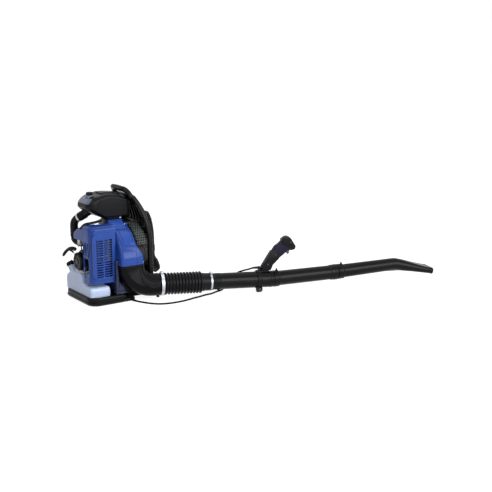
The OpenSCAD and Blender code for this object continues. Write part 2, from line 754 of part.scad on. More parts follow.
module big_end_bearing() color([0.85, 0.85, 0.86]) translate([0, 0, crank_z + stroke / 2])
    ring_x(cyl_x - web_gap / 2 + 1, cyl_x + web_gap / 2 - 1, big_end_r, pin_r + run_gap);

module connecting_rod() color([0.5, 0.5, 0.52]) difference() {
    union() {
        translate([0, 0, tdc_z]) rod_x(cyl_x - 6, cyl_x + 6, 10);
        translate([cyl_x - 4, -6, crank_z + stroke / 2 + big_end_r + gap])
            cube([8, 12, rod_l - big_end_r - gap - 6]);
    }
    translate([0, 0, tdc_z]) rod_x(cyl_x - 10, cyl_x + 10, 6 + run_gap);
}

module piston() color([0.8, 0.8, 0.82]) {
    difference() {
        translate([cyl_x, 0, crown_z - piston_h]) cylinder(h = piston_h, r = bore_d / 2 - run_gap);
        translate([cyl_x, 0, crown_z - piston_h - 1]) cylinder(h = piston_h - 4, r = bore_d / 2 - 4);
        translate([0, 0, tdc_z]) rod_x(cyl_x - 30, cyl_x + 30, 6);
    }
    translate([0, 0, tdc_z]) rod_x(cyl_x - 19, cyl_x + 19, 6 - seat);
}

module cylinder_bore() translate([cyl_x, 0, deck_z - 20])
    cylinder(h = crown_z + 4 - deck_z + 20, r = bore_d / 2);

module cylinder_block() color([0.62, 0.62, 0.64]) difference() {
    union() {
        translate([cyl_x, 0, deck_z - 14]) cylinder(h = head_top - deck_z + 14, r = bore_d / 2 + 3);
        translate([cyl_x, 0, deck_z]) cylinder(h = head_top - deck_z, r = barrel_r);
        translate([cyl_x - 32, -32, deck_z]) cube([64, 64, 6]);
        for (i = [0:fins - 1]) translate([cyl_x, 0, fin_z0 + 4 + i * (head_top - fin_z0 - 6) / fins])
            cylinder(h = fin_t, r = fin_r);
        // intake port to the left, exhaust port to the right
        at_intake() translate([0, 0, carb_z]) rod_x(carb_x1, cyl_x, 15);
        translate([cyl_x, muffler_y1, carb_z - 8]) rotate([-90, 0, 0]) cylinder(h = -muffler_y1, r = 15);
    }
    cylinder_bore();
    translate([cyl_x, 0, chamber_top - 8]) sphere(7);
    translate([cyl_x, 0, chamber_top - 6]) cylinder(h = 40, r = 7.1);
    at_intake() translate([0, 0, carb_z]) rod_x(carb_x1 - 1, cyl_x, 10);
    translate([cyl_x, muffler_y1 - 1, carb_z - 8]) rotate([-90, 0, 0])
        cylinder(h = -muffler_y1 + 1, r = 11);
}

module spark_plug() color([0.9, 0.9, 0.88]) translate([cyl_x, 0, chamber_top - 5]) {
    cylinder(h = 14 + eps, r = 7);
    translate([0, 0, 14]) cylinder(h = 9, r = 11, $fn = 6);
    translate([0, 0, 23]) cylinder(h = 16, r = 5);
}

module ht_lead() color([0.06, 0.06, 0.06]) {
    z = chamber_top + 18.5;
    difference() {
        union() {
            translate([cyl_x, 0, z]) cylinder(h = 22, r = 10);
            translate([0, 0, z + 14]) rod_x(cyl_x - 26, cyl_x, 7);
        }
        translate([cyl_x, 0, z - 1]) cylinder(h = 17, r = 5.2);
    }
    swept_tube(smooth([[cyl_x - 25, 0, z + 14], [cyl_x - 36, 3, z + 11], [cyl_x - 47, 10, z - 6],
        [cyl_x - 53, 16, z - 29], [cyl_x - 53, 31, z - 57], [-127, 50, crank_z + 42],
            [-123, 57, crank_z + 30],
        [-122, 57, crank_z + 16.5]], 3), 6);
}

module ignition_coil() color([0.07, 0.07, 0.08]) translate([0, 0, crank_z]) difference() {
    union() {
        translate([flywheel_x0, flywheel_r + 1, -16]) cube([13, 28, 32]);
        translate([flywheel_x0, flywheel_r + 10, -8]) cube([case_x0 - flywheel_x0, 12, 16]);
    }
    rod_x(-200, case_x0 - 1, flywheel_r + 2);
}

module flywheel() color([0.66, 0.66, 0.68]) at_crank() difference() {
    rod_x(flywheel_x0, flywheel_x1, flywheel_r);
    rod_x(flywheel_x0 - 1, flywheel_x1 + 1, journal_r + seat);
    for (i = [0:5]) rotate([60 * i, 0, 0]) translate([0, 29, 0]) rod_x(flywheel_x0 - 1, flywheel_x0 + 6, 9);
}

module muffler() color([0.45, 0.44, 0.42]) {
    corner = [cyl_x - muffler_size[0] / 2 - 1, muffler_y0, muffler_z0];
    skin = [muffler_wall, muffler_wall, muffler_wall];
    difference() {
        translate(corner) cube(muffler_size);
        translate(corner + skin) cube(muffler_size - 2 * skin);
        translate([cyl_x, muffler_y1 - 10, carb_z - 8]) rotate([-90, 0, 0]) cylinder(h = 20, r = 11);
        translate([0, exhaust[0], exhaust[1]]) rod_x(corner[0] - 8, corner[0] + 12, exhaust_r);
    }
    translate([0, exhaust[0], exhaust[1]])
        ring_x(corner[0] - 14, corner[0], exhaust_r + 2, exhaust_r);
}

module carburettor() color([0.72, 0.72, 0.74]) at_intake() difference() {
    union() {
        translate([carb_x0, -19, carb_z - 18]) cube([carb_x1 - carb_x0, 38, 36]);
        translate([carb_x0 + 4, 19 - eps, carb_z - 18]) cube([16, 5, 13]);
    }
    translate([0, 0, carb_z]) rod_x(carb_x0 - 1, carb_x1 + 1, 10);
    translate([carb_x0 + 16, -30, carb_z]) rotate([-90, 0, 0]) cylinder(h = 60, r = 3 + run_gap);
    translate([carb_x0 + 6, -30, carb_z]) rotate([-90, 0, 0]) cylinder(h = 60, r = 2.5 + run_gap);
}

module throttle_arm() color([0.8, 0.75, 0.5]) at_intake() translate([carb_x0 + 16, 0, carb_z]) {
    translate([0, -27, 0]) rotate([-90, 0, 0]) cylinder(h = 48, r = 3);
    translate([-4, -28, -4]) cube([8, 3, 26]);
}

module choke_lever() color([0.05, 0.05, 0.06]) at_intake() translate([carb_x0 + 6, 0, carb_z]) {
    translate([0, -20, 0]) rotate([-90, 0, 0]) cylinder(h = 47, r = 2.5);
    translate([-4, 25, -4]) cube([8, 3, 26]);
}

module primer_bulb() color([0.75, 0.30, 0.15]) at_intake()
    translate([carb_x0 + 8, -19 - gap, carb_z - 12]) rotate([90, 0, 0]) {
    cylinder(h = 3, r = 7);
    translate([0, 0, 2]) intersection() {
        sphere(6.5);
        translate([-10, -10, 0]) cube(20);
    }
}

// --- intake and filter ---

// The intake side is drawn towards the rear and turned about the cylinder
module at_intake() translate([cyl_x, 0, 0]) rotate([0, 0, intake_turn]) translate([-cyl_x, 0, 0])
    children();
function at_intake(p) = [cyl_x + (p[0] - cyl_x) * cos(intake_turn) - p[1] * sin(intake_turn),
    (p[0] - cyl_x) * sin(intake_turn) + p[1] * cos(intake_turn), p[2]];

// Centreline of the intake pipe: out of the carburettor, up, then over towards the filter box
pipe_bend = 42;
pipe_top_z = carb_z + 78;    // where the pipe starts to lean over
pipe_foot_r = 26;
pipe_xy = at_intake([carb_x0 - 2 - pipe_foot_r, 0, 0]);
function lean_over(a, ahead) = let (out = pipe_bend * (1 - cos(a)) + ahead * sin(a))
    [pipe_xy[0] + out * cos(pipe_turn), pipe_xy[1] + out * sin(pipe_turn),
        pipe_top_z + pipe_bend * sin(a) + ahead * cos(a)];
pipe_path = concat([at_intake([carb_x0 - 0.5, 0, carb_z])],
    [for (a = [0:15:90]) at_intake([carb_x0 - 2 - pipe_foot_r * sin(a), 0,
        carb_z + pipe_foot_r * (1 - cos(a))])],
    [for (a = [0:12:60]) lean_over(a, 0)], [lean_over(60, 4)]);
pipe_axis = unit(lean_over(60, 4) - lean_over(60, 0));
module at_pipe_end() translate(pipe_path[len(pipe_path) - 1]) rotate([0, 0, pipe_turn])
    rotate([0, 60, 0]) children();

module intake_elbow() color([0.05, 0.05, 0.06]) difference() {
    swept_tube(pipe_path, 2 * intake_r, 32);
    swept_tube(concat([at_intake([carb_x0 + 2, 0, carb_z])],
        [for (i = [1:len(pipe_path) - 2]) pipe_path[i]],
        [pipe_path[len(pipe_path) - 1] + 2 * pipe_axis]), 2 * intake_r - 6, 32);
}

intake_hose_l = 82;

module intake_hose() color([0.05, 0.05, 0.05]) at_pipe_end() difference() {
    union() {
        translate([0, 0, 0.5]) cylinder(h = intake_hose_l, r = intake_r + 0.5);
        for (i = [0:4]) translate([0, 0, 16 + i * 7]) cylinder(h = 4, r = intake_r + 3);
    }
    translate([0, 0, -eps]) cylinder(h = intake_hose_l + 2, r = intake_r - 2.5);
}

module hose_clamps() color([0.85, 0.85, 0.87]) {
    at_pipe_end() translate([0, 0, 4]) difference() {
        cylinder(h = 9, r = intake_r + 2.2);
        translate([0, 0, -1]) cylinder(h = 11, r = intake_r + 0.5 + seat);
    }
    on_tube() {
        ring_x(-clamp_w / 2, clamp_w / 2, cuff_r + 2.5, cuff_r + seat);
        translate([-clamp_w / 2, -9, cuff_r + 2]) cube([clamp_w, 18, 7]);
    }
}

// The filter box stands on this height
module at_box() translate([0, 0, filter_z0]) children();

module filter_box(off) intersection() {
    along_y(-box_y + off, box_y - off) offset(delta = -off) polygon(box_profile);
    translate([0, 0, -1]) linear_extrude(box_h + 2)
        plate([box_x0 - 1 + off, -box_y + off], [box_front + 1, box_y - off], box_r);
}

// Everything behind the filter cover's parting line
module cap_side(shift) along_y(-box_y - 1, box_y + 1)
    polygon([[2 * box_x0, cap_line_z - shift], [cap_line_bottom + shift, cap_line_z - shift],
        [cap_line_top + shift, box_h + 7], [2 * box_x0, box_h + 7]]);

module filter_cover() color([0.13, 0.15, 0.18]) at_box() difference() {
    intersection() {
        filter_box(0);
        cap_side(0);
    }
    intersection() {
        filter_box(filter_wall);
        cap_side(1);
    }
    translate([knob_x, 0, cap_line_z]) cylinder(h = box_h, r = 4);
}

module filter_base() color([0.05, 0.05, 0.06]) difference() {
    union() {
        at_box() filter_box(0);
        // brackets that hang the box on the frame's flanges
        for (side = [-1, 1]) translate([box_bracket[0], side * 50 - box_bracket[2] / 2,
            filter_z0 + box_bracket[1]])
            cube([frame_front(filter_z0 + box_bracket[1] + box_bracket[3]) - frame_skin
                - box_bracket[0] - gap, box_bracket[2], box_bracket[3]]);
    }
    at_box() cap_side(gap);
    at_box() filter_box(filter_wall);
    at_pipe_end() translate([0, 0, 20]) cylinder(h = 80, r = intake_r + 3 + gap);
}

module filter_element() color([0.85, 0.78, 0.5]) at_box() difference() {
    translate(element[0]) cube(element[1] - element[0]);
    for (i = [0:pleats - 1]) translate([element[0][0] + 6 + i * pleat_pitch, -box_y, element[0][2] + 8])
        cube([pleat_pitch / 2, 2 * box_y, box_h]);
}

module filter_knob() color([0.06, 0.06, 0.07]) translate([knob_x, 0, knob_z]) difference() {
    union() {
        cylinder(h = 14, r = knob_r);
        translate([0, 0, -40]) cylinder(h = 41, r = 4 - run_gap);
    }
    for (i = [0:9]) rotate([0, 0, 36 * i]) translate([knob_r + 1.5, 0, 3]) cylinder(h = 20, r = 3);
}

// --- engine cover ---

module cover_section(off) polygon([[-cover_right + off, cover_z0 - 1],
    [-cover_right + off, cover_z1 - 20 - off / 2],
    [-cover_right + 16 + off / 2, cover_z1 - 3 - off], [-90, cover_z1 - off], [-50, cover_z1 - 2 - off],
    [-16, cover_z1 - 12 - off], [cover_left - 40, cover_z1 - 24 - off],
        [cover_left - 14, cover_z1 - 38 - off],
    [cover_left - off, cover_z1 - 54 - off], [cover_left - off, cover_z0 - 1]]);

// The rear left corner has a smaller radius than the right one
module cover_plan(off) {
    x1 = cover_front + (off > 0 ? 60 : cover_r);
    plate([cover_rear + off, -cover_right + off], [x1, cover_left - off], cover_r - off);
    plate([cover_rear + off, -cover_right / 2], [x1, cover_left - off], cover_left_r - off);
}

module cover_solid(off) intersection() {
    translate([0, 0, cover_z0 - (off > 0 ? 1 : 0)]) linear_extrude(cover_z1)
        cover_plan(off);
    along_x(cover_rear, cover_front + (off > 0 ? 1 : 0)) cover_section(off);
}

module engine_cover() color([0.10, 0.19, 0.62]) difference() {
    cover_solid(0);
    cover_solid(cover_wall);
    // opening round the starter, and the open left side under the band
    translate([cover_rear - 1, pillar_left, 0]) cube([cover_rear * -1 - 30, 200, band_z]);
    // louvre slots, in two columns
    for (i = [0:louvres - 1]) for (x = [-139, -99])
        translate([x, -cover_right - 1, 135 + i * 10.5]) cube([34, cover_wall + 2, louvre_h]);
    // rear corner slots and window
    for (i = [0:3]) translate([cover_rear - 1, -58 - i * 11, 250 + i * 4]) rotate([20, 0, 0])
        cube([cover_wall + 2, 5, 46]);
    translate([cover_rear - 1, -92, 130]) cube([cover_wall + 2, 34, 92]);
}

// --- starter ---

module starter_housing() color([0.10, 0.10, 0.11]) {
    at_crank() difference() {
        union() {
            rod_x(dish_x0, dish_x1, dish_r);
            rod_x(drum_x0, dish_x0 + 1, drum_r);
        }
        rod_x(drum_x0 + starter_wall, dish_x0 + 2, drum_r - starter_wall);
        rod_x(dish_x0 + starter_wall, dish_x1 + 1, dish_r - starter_wall);
        rod_x(drum_x0 - 1, drum_x0 + 10, 5 + run_gap);
        for (i = [-4:4]) translate([drum_x0 - 1, -30, i * 7 - 1.5]) cube([2, 60, 3]);
        strut(rope_eye + rope_dir * 20, rope_eye - rope_dir * 20, rope_r + 0.6);
    }
    at_crank() for (a = post_angles) rotate([a, 0, 0]) translate([0, post_out, 0])
        rod_x(dish_x0 + 1, case_x0, 5);
}

module starter_pulley() color([0.85, 0.85, 0.82]) at_crank() difference() {
    union() {
        rod_x(pulley_x0, pulley_x0 + pulley_w, pulley_r + 4);
        rod_x(drum_x0 + 1, pulley_x0 + pulley_w, 5);
    }
    rotate([0, 90, 0]) translate([0, 0, pulley_x0 + 3]) rotate_extrude()
        translate([pulley_r, 0]) square([10, pulley_w - 6]);
}

// Spiral spring, wound flat
spring_turns = 3;
function spiral(t, off) = (13 + 13 * t / (360 * spring_turns) + off) * [cos(t), sin(t)];
module recoil_spring() color([0.5, 0.5, 0.55]) at_crank() {
    x0 = pulley_x0 + pulley_w + 0.5;
    along_x(x0, x0 + 6) polygon(concat([for (t = [0:15:360 * spring_turns]) spiral(t, 0)],
        [for (t = [360 * spring_turns:-15:0]) spiral(t, 0.8)]));
}

module starter_rope() color([0.85, 0.85, 0.85]) at_crank()
    strut(rope_eye - rope_dir * 6, rope_eye + rope_dir * (grip_out - 14), rope_r);

module starter_grip() color([0.04, 0.04, 0.05]) at_crank() {
    middle = rope_eye + rope_dir * grip_out;
    strut(rope_eye + rope_dir * (grip_out - 14 + gap), middle, 5);
    swept_tube([for (t = [-1:0.2:1.01]) middle + t * bar_dir * tgrip_l / 2 - [0, 0, bar_sag * t * t]],
        2 * bar_r, 12);
}

// --- fuel ---

module tank_low(off) translate([0, 0, tank_z0 + off]) linear_extrude(tank_low_z - tank_z0 - 2 * off)
    plate([-tank_rear + off, -tank_right + off], [tank_front - off, tank_left - off], tank_r - off);

module tank_tall(off) intersection() {
    translate([0, 0, tank_z0 + off]) linear_extrude(200)
        plate([-tank_rear + off, tank_step_y + off], [tank_tall_x1 - off, tank_left - off], tank_r - off);
    along_x(-tank_rear, 0) polygon([[tank_step_y + off, tank_z0], [tank_step_y + off, tank_tall_z - off],
        [tank_left - 52, tank_tall_z - off], [tank_left - off, tank_tall_z - 30 - off],
            [tank_left - off, tank_z0]]);
}

module on_neck() translate(neck_base) rotate([-neck_tilt, 0, 0]) children();

module fuel_tank() color([0.85, 0.87, 0.95]) difference() {
    union() {
        tank_low(0);
        tank_tall(0);
        on_neck() translate([0, 0, -8]) cylinder(h = neck_l + 8, r = neck_r);
        // pads that stand in the base tray
        for (x = [-150, -90], y = [-100, 100]) translate([x, y, base_floor])
            cylinder(h = tank_z0 - base_floor + 1, r = 9);
    }
    tank_low(tank_wall);
    tank_tall(tank_wall);
    on_neck() translate([0, 0, -20]) cylinder(h = neck_l + 30, r = neck_r - tank_wall);
    for (y = line_y) translate([line_x, y, tank_low_z - 10]) cylinder(h = 20, r = 3.2);
}

module fuel_cap() color([0.05, 0.05, 0.06]) on_neck() translate([0, 0, neck_l]) difference() {
    union() {
        translate([0, 0, gap]) cylinder(h = cap_h, r = cap_r);
        translate([0, 0, -10]) cylinder(h = 12, r = neck_r - tank_wall - 0.1);
        translate([-4, -cap_r + 3, cap_h - 1]) cube([8, 2 * cap_r - 6, 5]);
    }
    for (i = [0:15]) rotate([0, 0, 22.5 * i]) translate([cap_r + 1, 0, 1]) cylinder(h = 20, r = 2.2);
}

module fuel_lines() color([0.35, 0.30, 0.15]) for (i = [0, 1])
    swept_tube(smooth(concat([[line_x, line_y[i], tank_low_z - 8], [line_x, line_y[i], tank_low_z + 22],
        [line_x + 8, 62 + 8 * i, 165], [line_x + 24, 62 + 8 * i, 215]],
        [for (y = [44, 33, 24.2]) at_intake([carb_x0 + 16 - 8 * i, y,
            carb_z - 12 - (y > 40 ? 8 : 0)])]), 3), 4.6);

// --- blow tube ---

// Elbow ring at angle a: from the duct's rectangle, square to the duct, to the round outlet.
// The ring is pushed forward along the flow by ahead.
function elbow_ring(a, off, ahead = 0) = let (t = a / 90,
        half_l = inlet_half_l + (elbow_r - inlet_half_l) * t - off,
        half_w = inlet_half_w + (elbow_r - inlet_half_w) * t - off,
        r = min(half_l, half_w, 22 + (elbow_r - 22) * t - off / 2), w = tube_yaw * (1 - t))
    [for (q = round_rect(half_l, half_w, r)) let (u = -elbow_bend_r + q[0] * cos(w) - q[1] * sin(w),
        v = q[0] * sin(w) + q[1] * cos(w))
        [-elbow_straight + u * cos(a) + ahead * sin(a), v, elbow_bend_r + u * sin(a) - ahead * cos(a)]];
elbow_steps = 9;

module outlet_elbow() color([0.04, 0.04, 0.05]) translate(tube_origin) rotate([0, 0, -tube_yaw]) {
    joint_s = -clamp_w / 2 - 5;
    difference() {
        union() {
            loft(concat([for (i = [0:elbow_steps]) elbow_ring(90 * i / elbow_steps, 0)],
                [elbow_ring(90, 0, elbow_straight + joint_s)]));
            rotate([0, -tube_slope, 0]) rod_x(joint_s - 2, clamp_w / 2 + 4, spigot_r);
        }
        loft(concat([elbow_ring(0, elbow_wall, -1)],
            [for (i = [1:elbow_steps]) elbow_ring(90 * i / elbow_steps, elbow_wall)],
            [elbow_ring(90, elbow_wall, elbow_straight + joint_s - 4)]));
        rotate([0, -tube_slope, 0]) rod_x(joint_s - 5, clamp_w, spigot_r - elbow_wall);
    }
}

module flexible_hose() color([0.05, 0.05, 0.05]) on_tube() difference() {
    union() {
        rod_x(-clamp_w / 2 - 2, ridge_s0, cuff_r);
        rod_x(ridge_s0 - eps, ridge_s0 + hose_ridges * hose_pitch, hose_r - hose_root);
        for (i = [0:hose_ridges - 1]) rod_x(ridge_s0 + i * hose_pitch,
            ridge_s0 + (i + 0.6) * hose_pitch, hose_r);
        rod_x(ridge_s0 + hose_ridges * hose_pitch - eps, hose_end, tube_1_r + seat + 3);
    }
    rod_x(-clamp_w, ridge_s0 - 2, spigot_r + seat);
    rod_x(-clamp_w, ridge_s0 + hose_ridges * hose_pitch - 3, hose_r - hose_root - hose_wall);
    rod_x(ridge_s0, hose_end + 1, tube_1_r + seat);
}

module tube_clamp() color([0.85, 0.85, 0.87]) on_tube() {
    ring_x(hose_end - 17, hose_end - 4, tube_1_r + seat + 5.5, tube_1_r + 2 * seat + 3);
    translate([hose_end - 16, -4, tube_1_r + 5]) cube([11, 16, 7]);
}

module tube_1() color([0.06, 0.06, 0.07]) on_tube() difference() {
    union() {
        rod_x(tube_1_s0, joint_1_s, tube_1_r);
        for (i = [0:3]) rod_x(hose_end + 12 + i * 7, hose_end + 15 + i * 7, tube_1_r + 1.5);
        for (s = [joint_1_s - 18, joint_1_s - 7]) rod_x(s, s + 4, tube_1_r + 1.5);
        // saddle that holds the cable under the tube
        rotate([157, 0, 0]) translate([clip_s - 5, -6, tube_1_r - 1]) cube([10, 12, 2.6]);
    }
    rod_x(tube_1_s0 - 1, joint_1_s + 1, tube_1_r - tube_wall);
}

// Bayonet joint: the spigot lies along the tube behind, the collar along the tube in front
module joint_spigot(bend, r) rotate([0, bend, 0]) rod_x(-spigot_l, 9, r);
module joint_collar(length, r) {
    rod_x(3, length, r);
    for (s = [5, 14, length - 8]) rod_x(s, s + 4, r + 1.5);
    translate([length * 0.75, 0, r - 1]) cylinder(h = peg_h, r1 = peg_r, r2 = 3);
}

module tube_2() color([0.06, 0.06, 0.07]) on_tube_2() {
    end_r = tube_2_r - tube_2_taper;
    difference() {
        union() {
            joint_spigot(joint_1_bend, tube_1_r - tube_wall - run_gap);
            joint_collar(collar_l, tube_1_r);
            rod_x(collar_l - 1, tube_2_l, tube_2_r, end_r);
            rod_x(tube_2_l - spigot_l + 6, tube_2_l, socket_r + 4.5);
            for (s = [tube_2_l - 18, tube_2_l - 7]) rod_x(s, s + 4, socket_r + 6);
        }
        rotate([0, joint_1_bend, 0]) rod_x(-spigot_l - 1, 9, tube_1_r - 2 * tube_wall - run_gap);
        rod_x(2, tube_2_l - spigot_l, tube_2_r - tube_wall, end_r - tube_wall);
        rod_x(tube_2_l - spigot_l - 2, tube_2_l + 1, socket_r);
    }
}

// Rings of the nozzle: round and tapering, then bent down and flattened to the mouth
function nozzle_ring(x, a, b, r, turn = 0, ahead = 0) = [for (q = round_rect(a, b, r))
    [x + ahead * cos(turn) + q[0] * sin(turn), q[1], -ahead * sin(turn) + q[0] * cos(turn)]];
nozzle_end_r = nozzle_r - nozzle_taper;
function nozzle_rings(x0, off, extra) = [
    nozzle_ring(x0, nozzle_r - off, nozzle_r - off, nozzle_r - off),
    nozzle_ring(nozzle_l, nozzle_end_r - off, nozzle_end_r - off, nozzle_end_r - off),
    nozzle_ring(nozzle_l, 28 - off, 36 - off, 27 - off, nozzle_drop, 45),
    nozzle_ring(nozzle_l, 22.5 - off, 43 - off, 21.5 - off, nozzle_drop, 95),
    nozzle_ring(nozzle_l, 17.5 - off, mouth_half_w - 3 - off, 16.5 - off, nozzle_drop, 145),
    nozzle_ring(nozzle_l, mouth_half_h - off, mouth_half_w - off, mouth_half_h - off - 1, nozzle_drop,
        nozzle_tip_l + extra)];

module nozzle() color([0.06, 0.06, 0.07]) on_nozzle() difference() {
    union() {
        joint_spigot(joint_2_bend, socket_r - run_gap);
        joint_collar(collar_l + 4, socket_r + 3.5);
        loft(nozzle_rings(collar_l, 0, 0));
        translate([nozzle_l, 0, 0]) rotate([0, nozzle_drop, 0]) translate([nozzle_tip_l - 6, 0, 0])
            rotate([0, 90, 0])
            linear_extrude(6.2) plate([-mouth_half_h - 1.5, -mouth_half_w - 1.5],
                [mouth_half_h + 1.5, mouth_half_w + 1.5],
                mouth_half_h);
    }
    rotate([0, joint_2_bend, 0]) rod_x(-spigot_l - 1, 9, socket_r - run_gap - tube_wall);
    loft(nozzle_rings(2, tube_wall, 1));
}

// --- control grip, in the tube's frame ---

module grip_bracket() color([0.05, 0.05, 0.06]) on_tube() difference() {
    union() {
        rod_x(band_s - bracket_w / 2, band_s + bracket_w / 2, bracket_r);
        translate([band_s - 10, -14, 0]) cube([grip_s + 34 - band_s + 10, 28, grip_foot_w - gap]);
        translate([grip_s - 14, -6, 0]) cube([6, 12, cable_w + 7]);
        rotate([-lug_turn, 0, 0]) translate([band_s - lug_w / 2, -9, -lug_len])
            cube([lug_w, 18, lug_len]);
    }
    rod_x(band_s - bracket_w, grip_s + 60, tube_1_r + seat);
    rotate([-lug_turn, 0, 0]) translate([band_s - lug_w, -1.5, -lug_len - 1])
        cube([2 * lug_w, 3, lug_len]);
    rotate([-lug_turn, 0, 0]) translate([band_s, -20, -lug_bolt]) rotate([-90, 0, 0])
        cylinder(h = 40, r = grip_screw_r + 0.2);
}

module grip_side(inset) offset(delta = -inset) polygon(grip_outline);

module in_grip(spot, y0, y1, r) translate([spot[0], y0, spot[1]]) rotate([-90, 0, 0])
    cylinder(h = y1 - y0, r = r);

// One shell; side is 1 for the left and -1 for the right
module grip_shell(side) on_tube() mirror([0, side < 0 ? 1 : 0, 0]) {
    difference() {
        union() {
            along_y(gap / 2, grip_half_t - 4) grip_side(0);
            along_y(grip_half_t - 4 - eps, grip_half_t) grip_side(2.5);
            for (spot = grip_screws_at) in_grip(spot, gap / 2, grip_half_t, 5);
        }
        difference() {
            along_y(-1, grip_half_t - grip_wall) grip_side(grip_wall + (grip_half_t > 15 ? 0 : 0.5));
            for (spot = grip_screws_at) in_grip(spot, -2, grip_half_t, 5);
            in_grip(trigger_pivot, trigger_t / 2 + 0.6, grip_half_t, 5);
        }
        translate([trigger_slot[0], -1, trigger_slot[2]])
            cube([trigger_slot[1] - trigger_slot[0], trigger_t / 2 + 1.5, trigger_slot[3]
                - trigger_slot[2]]);
        for (spot = grip_screws_at) in_grip(spot, -1, side < 0 ? grip_half_t + 1 : grip_half_t - 3,
            grip_screw_r + 0.2);
        in_grip(trigger_pivot, -1, grip_half_t - 2, trigger_pin_r + 0.02);
        if (side > 0) in_grip(lever_pivot, 0, grip_half_t + 1, 3 + run_gap);
        if (side < 0) in_grip(switch_at, 0, grip_half_t + 1, 6 + run_gap);
    }
}

module grip_shell_left() color([0.05, 0.05, 0.06]) grip_shell(1);
module grip_shell_right() color([0.05, 0.05, 0.06]) grip_shell(-1);

module throttle_trigger() color([0.03, 0.03, 0.03]) on_tube() difference() {
    translate([trigger_pivot[0], 0, trigger_pivot[1]]) along_y(-trigger_t / 2, trigger_t / 2)
        polygon([[-6, 6], [5, 6], [11, -9], [7, -31], [2, -36], [-5, -31], [-8, -10]]);
    in_grip(trigger_pivot, -20, 20, trigger_pin_r + run_gap);
}

module cruise_lever() color([0.55, 0.08, 0.05]) on_tube() {
    in_grip(lever_pivot, grip_half_t - 6, grip_half_t + 1, 3);
    in_grip(lever_pivot, grip_half_t + gap, grip_half_t + 6, 9);
    translate([lever_pivot[0] - 4, grip_half_t + gap, lever_pivot[1]]) cube([8, 5.6, 30]);
}

module stop_switch() color([0.6, 0.08, 0.05]) on_tube() {
    in_grip(switch_at, -grip_half_t - 4, -grip_half_t + 4, 6);
}

module grip_screws() color([0.7, 0.7, 0.72]) on_tube() {
    for (spot = grip_screws_at) {
        in_grip(spot, -grip_half_t - 1, grip_half_t - 4, grip_screw_r);
        in_grip(spot, -grip_half_t - 2.5, -grip_half_t, 3.8);
    }
    in_grip(trigger_pivot, -grip_half_t + 2.5, grip_half_t - 2.5, trigger_pin_r);
    rotate([-lug_turn, 0, 0]) {
        translate([band_s, -12, -lug_bolt]) rotate([-90, 0, 0]) cylinder(h = 24, r = grip_screw_r);
        for (y = [-12, 9 + eps]) translate([band_s, y, -lug_bolt]) rotate([-90, 0, 0])
            cylinder(h = 3, r = 4, $fn = 6);
    }
}

// --- throttle cable ---

module throttle_cable_lower() color([0.03, 0.03, 0.03]) swept_tube(smooth(route_lower, 3), cable_d);
module throttle_cable_upper() color([0.03, 0.03, 0.03]) swept_tube(smooth(route_upper, 3), cable_d);

base_frame();
back_frame();
housing_screws();
back_pad();
shoulder_strap(1);  // shoulder_strap_left
shoulder_strap(-1);  // shoulder_strap_right
strap_buckles();
av_mounts();
fan_housing_rear();
fan_housing_front();
impeller();
crank_nuts();
crankcase_front();
crankcase_rear();
main_bearings();
crankshaft();
big_end_bearing();
connecting_rod();
piston();
cylinder_block();  // cylinder
spark_plug();
ht_lead();
ignition_coil();
flywheel();
muffler();
carburettor();
throttle_arm();
choke_lever();
primer_bulb();
intake_elbow();
intake_hose();
hose_clamps();
filter_base();
filter_cover();
filter_element();
filter_knob();
engine_cover();
starter_housing();
starter_pulley();
recoil_spring();
starter_rope();
starter_grip();
fuel_tank();
fuel_cap();
fuel_lines();
outlet_elbow();
flexible_hose();
tube_clamp();
tube_1();
tube_2();
nozzle();
grip_bracket();
grip_shell_left();
grip_shell_right();
throttle_trigger();
cruise_lever();
stop_switch();
grip_screws();
throttle_cable_lower();
throttle_cable_upper();
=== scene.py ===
"""Backpack leaf blower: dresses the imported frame. Shapes are written in millimetres and placed by frames."""

